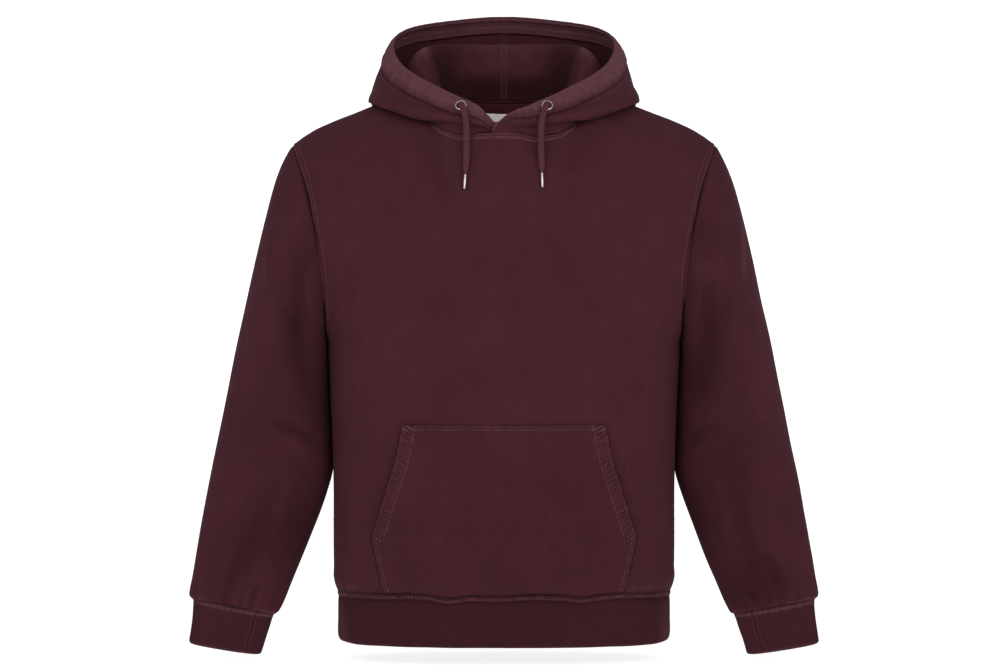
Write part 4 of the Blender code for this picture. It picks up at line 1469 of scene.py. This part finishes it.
# %% Stitch the armholes and the neck
ABOVE_ARMPIT = 16
parts = []
for cloth in body.values():
    last = index_of(-cloth.points[:, 0, 2], -(SLEEVE["inner_z"][0] + ABOVE_ARMPIT))
    for distance in ARMHOLE_ROWS:
        for from_end in (False, True):
            parts.append(stitches_on(cloth, side_line(cloth, distance, 3, last, from_end)))
thread_object("armhole_stitches", parts)

parts = []
for cloth in body.values():
    first, last = index_of(cloth.across_values, [-NECK_SHARE, NECK_SHARE])
    for distance in STITCH_ROWS:
        parts.append(stitches_on(cloth, across_line(cloth, distance, first + 1, last - 1)))
thread_object("neckline_stitches", parts)

# %% Stitch the cuffs and the hem
TWIN_TURN = 3.5
parts = [stitches_on(band, across_line(band, row, 0, band.points.shape[1])) for row in BAND_ROWS]
for cuff in cuffs.values():
    columns = cuff.points.shape[1]
    parts.append(stitches_on(cuff, across_line(cuff, CUFF_ROW, 0, columns)))
    for turn in (CUFF_SEAM_TURN - TWIN_TURN, CUFF_SEAM_TURN + TWIN_TURN):
        rows = np.linspace(2, cuff.points.shape[0] - 3, 40)
        wander = turn + 1.0 * drift(rows, 59, 9.0)
        parts.append(stitches_on(cuff, (rows, wander / 360 * columns), lift=-0.08))
thread_object("rib_stitches", parts)

# %% Stitch the hood
FIRST_TURN = -3.0
TWIN_INSET = 3.8
HEM_INSET = 2.5
parts = []
for cloth in hoods.values():
    rows, columns = cloth.points.shape[:2]
    first = int(index_of(cloth.turn_values, FIRST_TURN)) + 1
    width = tunnel_width(cloth.turn_values[first:])
    tunnel = across_line(cloth, width, first, columns - 1, from_end=True)
    parts.append(stitches_on(cloth, tunnel))
    hem = across_line(cloth, width - HEM_INSET, first, columns - 1, from_end=True)
    parts.append(stitches_on(cloth, hem, inside=FLEECE + TUNNEL_THICK - 0.1))
    twin = beside_last(cloth, TWIN_INSET, 1, rows - 2)
    below = twin[0] < tunnel[0][-1] - 1
    parts.append(stitches_on(cloth, twin))
    parts.append(stitches_on(cloth, (twin[0][below], twin[1][below]), inside=FLEECE - 0.1))
thread_object("hood_stitches", parts)

# %% Stitch the pocket
def pocket_place(distance, share, side):
    """Rows and columns a distance in from the pocket's side edge, at a share of the way down it."""
    half_width = np.interp(share, POCKET["down"], POCKET["half_width"])
    return (
        index_of(pocket.down_values, share),
        index_of(pocket.across_values, side * (1 - distance / (slope * half_width))),
    )


parts = []
last_column = len(pocket.across_values) - 1
for distance in TOP_ROWS:
    parts.append(stitches_on(pocket, across_line(pocket, distance, 2, last_column - 2)))
for side in (-1, 1):
    for distances, low, high in (
        (HEM_ROWS, 0.01, OPENING_DOWN + 0.02),
        (SIDE_ROWS, OPENING_DOWN, 0.985),
    ):
        share = np.linspace(low, high, 60)
        parts += [stitches_on(pocket, pocket_place(row, share, side)) for row in distances]
thread_object("pocket_stitches", parts)

# %% [markdown]
# Bartacks are short bars of close zigzag stitches. They hold the corners of the openings, where a
# hand pulls on the pocket. The lower ones make a V, with one arm along the hem of the opening.

# %% Bartacks of the pocket
BARTACKS = {
    "down": (0.012, 0.640, 0.668),
    "inset": (5.0, 3.0, 3.0),
    "run": (9.0, 11.0, 11.0),
    "lean": (90.0, 38.0, -38.0),
}
ZIGZAG_STEP = 0.75
ZIGZAG_HALF_WIDTH = 0.9
ZIGZAG_SLANT = 0.2
ZIGZAG_STITCH = {"lift": 0.15, "pitch": 1.7, "length": 1.65}
pocket_height = POCKET_TOP_Z - HEM_Z
parts = []
for side in (-1, 1):
    for share, inset, run, lean in zip(*BARTACKS.values()):
        cosine, sine = math.cos(math.radians(lean)), math.sin(math.radians(lean))
        for number, step in enumerate(np.arange(0, run, ZIGZAG_STEP)):
            slant = -ZIGZAG_SLANT if number % 2 else ZIGZAG_SLANT
            wide = ZIGZAG_HALF_WIDTH * np.array((-1, 1))
            long = slant * np.array((-1, 1))
            inward = inset + step * cosine - wide * sine + long * cosine
            downward = share + step * sine / pocket_height
            downward = downward + (wide * cosine + long * sine) / pocket_height
            parts.append(stitches_on(pocket, pocket_place(inward, downward, side), **ZIGZAG_STITCH))
thread_object("pocket_bartacks", parts)

# %% [markdown]
# ## Tape and label
#
# A strip of tape covers the neck seam on the inside of the back, and below it hangs a woven label,
# which is left plain. Both lie on the back panel's inner face, so both are drawn from its shape.

# %% Sew the tape and the label
LABEL_TONES = (0.84, 0.80, 0.80, 1), (0.92, 0.88, 0.88, 1)
WEFT_PITCH = WAVE_LENGTH / 700
WEFT_DEPTH = 0.0001
label_cloth = Finish("Grey woven label", roughness=0.75)
weave = label_cloth.lines(label_cloth.add("UVMap"), "Y", WEFT_PITCH)
label_cloth.set("Base Color", label_cloth.mix(weave, *LABEL_TONES))
label_cloth.relief(weave, WEFT_DEPTH, 0.4)


def inside_back(across, down, thickness):
    """Points on the back panel's inner face, lifted off it by a thickness."""
    down_at, across_at = grid(down, across)
    points = torso(1, across_at, down_at)
    return points - normals(points) * (FLEECE + 3 * SEAM_GAP + thickness)


# Their sides, top and foot are shares of the back panel's width and height.
TRIMS = {
    "name": ("tape", "label"),
    "side": (0.127, 0.07),
    "top": (0.012, 0.0415),
    "foot": (0.04, 0.1595),
    "thickness": (1.0, 0.7),
    "finish": (fleece, label_cloth),
}
trims = {}
for name, side, top, foot, thickness, finish in zip(*TRIMS.values()):
    across, down = np.linspace(-side, side, 60), np.linspace(top, foot, 24)
    cloth = Cloth(inside_back(across, down, thickness), flip=True)
    edge = np.minimum(cloth.across, cloth.across[:, -1:] - cloth.across)
    edge = np.minimum(edge, np.minimum(cloth.down, cloth.down[-1] - cloth.down))
    cloth.raise_by(-0.2 * bump(edge - 2, 0.8) + 0.1 * puckers(cloth.across, edge, 171, 8, 5))
    cloth.piece = sew("inside_" + name, cloth, thickness, finish)
    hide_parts("neck_" + name)
    trims[name] = cloth
print("tape and label sewn")

# %% [markdown]
# ## Eyelets
#
# A brass or steel eyelet is pressed through the hem of the hood where the cord comes out. It shows
# as a thin bright flange with a rolled lip round a dark hole. Two rings make it, and a dark disc in
# the hole is a painted shadow.

# %% Metal, and a place on the hood
METAL_TONES = (0.34, 0.29, 0.29, 1), (0.78, 0.72, 0.71, 1)
metal = Finish("Gunmetal", roughness=0.28, metallic=1.0)
spots = metal.noise(metal.add("TexCoord", output=3), 420.0, 3.0)
metal.set("Base Color", metal.mix(spots, *METAL_TONES))
metal.set("Roughness", spots * 0.25 + 0.25)
# The dark disc in the eyelet's hole is a painted shadow.
tunnel_shadow = Finish("Painted shadow of the tunnel", roughness=1.0)
tunnel_shadow.plain(Base_Color=(0.012, 0.004, 0.006, 1))


def hood_place(side, turn, along):
    """A point of the hood's outer face and its outward normal."""
    turns, alongs = np.array([turn, turn, turn + 1.0]), np.array([along, along + 0.01, along])
    here, up, round_to = hood(turns, alongs, side)
    normal = np.cross(round_to - here, up - here) * side
    return here, normal / np.linalg.norm(normal)


def keep(name, finish, place, facing):
    """Puts the piece that was just added in its place, with the place in its mesh."""
    made = bpy.context.object
    made.name = name
    turned = Vector(facing).to_track_quat("Z", "Y").to_matrix().to_4x4()
    made.data.transform(Matrix.Translation(Vector(place) * MM) @ turned)
    made.location, made.rotation_euler = (0, 0, 0), (0, 0, 0)
    made.data.shade_smooth()
    made.data.materials.clear()
    made.data.materials.append(finish.material)
    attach(made, "root")
    return made


def join(pieces):
    """Joins the pieces into the first one."""
    bpy.ops.object.select_all(action="DESELECT")
    for piece in pieces:
        piece.select_set(True)
    bpy.context.view_layer.objects.active = pieces[0]
    bpy.ops.object.join()


# %% Press the eyelets
EYELET_TURN = 31.0
EYELET_ALONG = 0.94
EYELET_RISE = 1.1
FLANGE = {"major": 6.45, "minor": 0.55, "rise": 0.0}
LIP = {"major": 5.95, "minor": 0.35, "rise": 0.5}
HOLE_RADIUS = 5.8
HOLE_DEPTH = 0.5
for name, side in (("left", -1), ("right", 1)):
    place, normal = hood_place(side, EYELET_TURN, EYELET_ALONG)
    rings = []
    for ring in (FLANGE, LIP):
        bpy.ops.object.select_all(action="DESELECT")
        bpy.ops.mesh.primitive_torus_add(
            major_segments=72,
            minor_segments=18,
            major_radius=ring["major"] * MM,
            minor_radius=ring["minor"] * MM,
        )
        centre = place + normal * (EYELET_RISE + ring["rise"])
        rings.append(keep("eyelet_ring_" + name, metal, centre, normal))
    join(rings)
    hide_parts("eyelet_" + name)
    bpy.ops.object.select_all(action="DESELECT")
    bpy.ops.mesh.primitive_cylinder_add(vertices=48, radius=HOLE_RADIUS * MM, depth=HOLE_DEPTH * MM)
    keep("eyelet_hole_shadow_" + name, tunnel_shadow, place + normal * EYELET_RISE, normal)
print("eyelets pressed")

# %% [markdown]
# ## Drawcord
#
# The cord is a cotton braid, a little wider than it is thick. Strands run round it both ways and
# cross, which makes the diagonal grain. Its route is a short list of points: out of the eyelet,
# over the hood's hem and down the chest. At its end the braid narrows into a thin crimped metal
# tip.

# %% The cord's finish and its routes
CORD_TONES = (0.034, 0.010, 0.013, 1), (0.084, 0.028, 0.037, 1)
cord = Finish("Burgundy cotton cord", roughness=0.85)
# Painted light and shade on the braid: lighter on the strands and darker in the grooves between
# them.
strand_light_and_shade = cord.add("Attribute", output=2, settings={"attribute_name": "wear_and_painted_light"})
cord_tone = cord.noise(cord.add("TexCoord", output=3), 90.0, 3.0)
cord.set("Base Color", cord.mix(strand_light_and_shade * 0.8 + cord_tone * 0.2, *CORD_TONES))
cord.plain(Specular_IOR_Level=0.1)
DRAWCORD_LEFT = (
    (51.5, -111.5, -7),
    (49, -115.5, -15),
    (47.5, -116.5, -23),
    (46.8, -116.5, -32),
    (46.5, -116, -45),
    (46.5, -116.5, -60),
    (47, -118.5, -75),
    (48, -121.5, -91),
)
DRAWCORD_RIGHT = (
    (51.5, -111.5, -7),
    (49.2, -115.5, -15),
    (47.3, -116.5, -23),
    (46.3, -116.5, -32),
    (46, -116, -45),
    (46, -116.5, -60),
    (46.8, -118.5, -75),
    (47.2, -121.2, -89),
)

# %% A tube along a route
CORD_RADIUS = 3.4


def tube(name, route, radius, wear_and_painted_light, finish, wide=1.0):
    """A mesh along a route, from a radius and a value of wear and painted light at each ring and
    each side.
    """
    along = np.gradient(route, axis=0)
    along /= np.linalg.norm(along, axis=1, keepdims=True)
    side = np.cross(along, (0.0, 1.0, 0.0))
    side /= np.linalg.norm(side, axis=1, keepdims=True)
    up = np.cross(side, along)
    rings, sides = radius.shape
    turn = np.linspace(0, 2 * math.pi, sides, endpoint=False)
    cosine, sine = np.cos(turn)[None, :, None], np.sin(turn)[None, :, None]
    offset = wide * side[:, None] * cosine + up[:, None] * sine
    points = route[:, None] + offset * radius[..., None]
    number = np.arange(rings * sides).reshape(rings, sides)
    beside = np.roll(number, -1, 1)
    faces = np.stack([number[:-1], number[1:], beside[1:], beside[:-1]], -1).reshape(-1, 4)
    run = np.concatenate([[0], np.cumsum(np.linalg.norm(np.diff(route, axis=0), axis=1))])
    uv = np.stack(np.broadcast_arrays(turn[None, :] * CORD_RADIUS, run[:, None]), -1)
    made = object_from(
        name, points.reshape(-1, 3), faces[:, ::-1], uv.reshape(-1, 2), wear_and_painted_light.ravel()
    )
    made.data.materials.append(finish.material)
    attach(made, "root")
    return made


# %% Braid the cords and crimp their tips
CORD_RISE = 4.0
CORD_SIDES = 28
CORD_RINGS = 260
CORD_FLATNESS = 1.2
BRAID_STRANDS = 4
BRAID_PITCH = 15.0
BRAID_RELIEF = 0.34
NARROWED = 0.52
AGLET_LENGTH = 19.0
AGLET_RADIUS = 1.6
AGLET_RINGS = 120
CRIMPS = (2.2, 4.4, AGLET_LENGTH - 2.4)
CRIMP_DEPTH = 0.22
cords = {}
for name, side, drop in (("left", -1, DRAWCORD_LEFT), ("right", 1, DRAWCORD_RIGHT)):
    place, normal = hood_place(side, EYELET_TURN, EYELET_ALONG)
    knots = np.array([place, place + normal * CORD_RISE, *(np.array(drop) * (side, 1, 1))])
    knot_run = np.cumsum([0, *np.linalg.norm(np.diff(knots, axis=0), axis=1)])
    run = np.linspace(0, knot_run[-1], CORD_RINGS)
    route = np.stack([smooth(knot_run, knots[:, axis], run) for axis in range(3)], -1)
    turn = np.linspace(0, 2 * math.pi, CORD_SIDES, endpoint=False)
    twist = 2 * math.pi * run[:, None] / BRAID_PITCH
    one_way = np.cos(BRAID_STRANDS * (turn - twist))
    other_way = np.cos(BRAID_STRANDS * (turn + twist))
    strand = np.maximum(one_way, other_way)
    from_tip = run[-1] - run[:, None]
    narrow = 1 - NARROWED * (1 - ease(from_tip / 9.0))
    radius = (CORD_RADIUS - BRAID_RELIEF + BRAID_RELIEF * strand) * narrow
    braid = tube("cord_" + name, route, radius, 0.5 + 0.5 * strand, cord, CORD_FLATNESS)
    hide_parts("drawcord_" + name)

    heading = (route[-1] - route[-2]) / np.linalg.norm(route[-1] - route[-2])
    top = route[-1] + heading * SEAM_GAP
    steps = np.linspace(0, AGLET_LENGTH, AGLET_RINGS)
    crimps = sum(bump(steps - at, 0.55) for at in CRIMPS)
    closed = np.minimum(ease(steps / 0.5), ease((AGLET_LENGTH - steps) / 0.9))
    tip_radius = (AGLET_RADIUS - CRIMP_DEPTH * crimps) * (0.12 + 0.88 * closed)
    tip_radius = np.broadcast_to(tip_radius[:, None], (AGLET_RINGS, CORD_SIDES))
    tip_route = top + heading * steps[:, None]
    tip = tube("cord_tip_" + name, tip_route, tip_radius, 0 * tip_radius, metal)
    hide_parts("aglet_" + name)
    cords[name] = {"piece": braid, "tip": tip, "route": route, "length": run[-1]}
    print("cord", name, "length", round(run[-1], 1))

# %% [markdown]
# ## What is cloth and what is cord
#
# Each cloth piece is listed with the flat size of its cut, seam to seam, and what it hangs from,
# and its cut area is printed beside its area as sewn. The routes of the drawcord's two free ends
# are turned into metres and not used further.

SHEETS = {
    "piece": [
        body["front"], body["back"], sleeves["left"], sleeves["right"],
        cuffs["left"], cuffs["right"], band, hoods["left"], hoods["right"],
        pocket, trims["tape"], trims["label"],
    ],
    "slot": ("fleece",) * 4 + ("rib",) * 3 + ("fleece",) * 4 + ("label",),
    "width": (0.60, 0.60, 0.44, 0.44, 0.22, 0.22, 1.08, 0.34, 0.34, 0.33, 0.11, 0.057),
    "length": (0.68, 0.72, 0.62, 0.62, 0.057, 0.057, 0.064, 0.40, 0.40, 0.215, 0.0125, 0.057),
    "fill": (0.95, 0.95, 0.80, 0.80, 0.98, 0.98, 1.0, 0.85, 0.85, 0.86, 1.0, 1.0),
    "hangs_from": (
        ["hood_left", "hood_right"], ["hood_left", "hood_right"], ["front_body", "back_body"],
        ["front_body", "back_body"], ["sleeve_left"], ["sleeve_right"], ["front_body", "back_body"],
        ["front_body", "back_body"], ["front_body", "back_body"], ["front_body"],
        ["back_body"], ["back_body"],
    ),
}
for cloth, slot, width, length, fill, hangs_from in zip(*SHEETS.values()):
    piece = cloth.piece
    measured = sum(face.area for face in piece.data.polygons) / 2
    area = width * length * fill
    print(piece.name, "cut", round(area, 4), "m2, as sewn", round(measured, 4))

for cord_end in cords.values():
    route = cord_end["route"] * MM
    cord_end["length"] * MM

# %% [markdown]
# ## The studio
#
# White paper lies below and stands far behind, and glows a little so that it stays white. The room
# is white wherever it is seen, and its light is dimmer than that. Two soft lamps stand in front,
# and a long lens at chest height looks straight at the garment.

# %% The room and the lamps
LAMP_AIM = (0, 0, -0.2)
LAMP_SIZE = 1.6
ROOM_LIGHT = 0.55


def softbox(name, place, power):
    lamp = bpy.data.lights.new(name, "AREA")
    lamp.size = LAMP_SIZE
    lamp.energy = power
    made = bpy.data.objects.new(name, lamp)
    made.location = place
    made.rotation_euler = (Vector(LAMP_AIM) - Vector(place)).to_track_quat("-Z", "Y").to_euler()
    bpy.context.scene.collection.objects.link(made)


world = bpy.data.worlds.new("Studio")
bpy.context.scene.world = world
world.use_nodes = True
room = world.node_tree.nodes
room_links = world.node_tree.links
lit = room["Background"]
lit.inputs["Color"].default_value = (1, 1, 1, 1)
lit.inputs["Strength"].default_value = ROOM_LIGHT
seen = room.new("ShaderNodeBackground")
seen.inputs["Color"].default_value = (1, 1, 1, 1)
rays = room.new("ShaderNodeLightPath")
either = room.new("ShaderNodeMixShader")
room_links.new(rays.outputs["Is Camera Ray"], either.inputs["Fac"])
room_links.new(lit.outputs["Background"], either.inputs[1])
room_links.new(seen.outputs["Background"], either.inputs[2])
room_links.new(either.outputs["Shader"], room["World Output"].inputs["Surface"])
bpy.context.scene.view_settings.view_transform = "Standard"
softbox("Left softbox", (-1.5, -3.0, 1.4), power=30)
softbox("Right softbox", (1.5, -3.0, 1.2), power=35)

# %% Paper below and behind
FLOOR_Z = -0.704
BACKDROP_Y = 9.0
FLOOR_SIZE = (20, 20, 1, 1)
BACKDROP_SIZE = (32, 20, 1, 1)
PAPER_GLOW = 0.85
paper = Finish("White studio paper", roughness=0.9)
paper.plain(Base_Color=(0.40, 0.40, 0.40, 1), Specular_IOR_Level=0.0)
paper.plain(Emission_Color=(1, 1, 1, 1), Emission_Strength=PAPER_GLOW)


def paper_sheet(name, place):
    """A plane whose place is in its mesh."""
    bpy.ops.mesh.primitive_plane_add(size=1, location=(0, 0, 0))
    sheet = bpy.context.object
    sheet.name = name
    sheet.data.transform(place)
    sheet.data.materials.append(paper.material)


upright = Matrix.Translation((0, BACKDROP_Y, 0)) @ Matrix.Rotation(math.pi / 2, 4, "X")
paper_sheet("studio_sweep", Matrix.Translation((0, 0, FLOOR_Z)) @ Matrix.Diagonal(FLOOR_SIZE))
paper_sheet("studio_backdrop", upright @ Matrix.Diagonal(BACKDROP_SIZE))

# %% The camera
CAMERA_PLACE = (0.0, -4.0, -0.292)
CAMERA_LENS = 111.6
camera_data = bpy.data.cameras.new("Camera")
camera_data.lens = CAMERA_LENS
camera_data.sensor_width = 36.0
camera = bpy.data.objects.new("Camera", camera_data)
camera.location = CAMERA_PLACE
camera.rotation_euler = (math.pi / 2, 0, 0)
bpy.context.scene.collection.objects.link(camera)
bpy.context.scene.camera = camera

# %% Finish
for piece in bpy.context.scene.objects:
    piece.select_set(False)
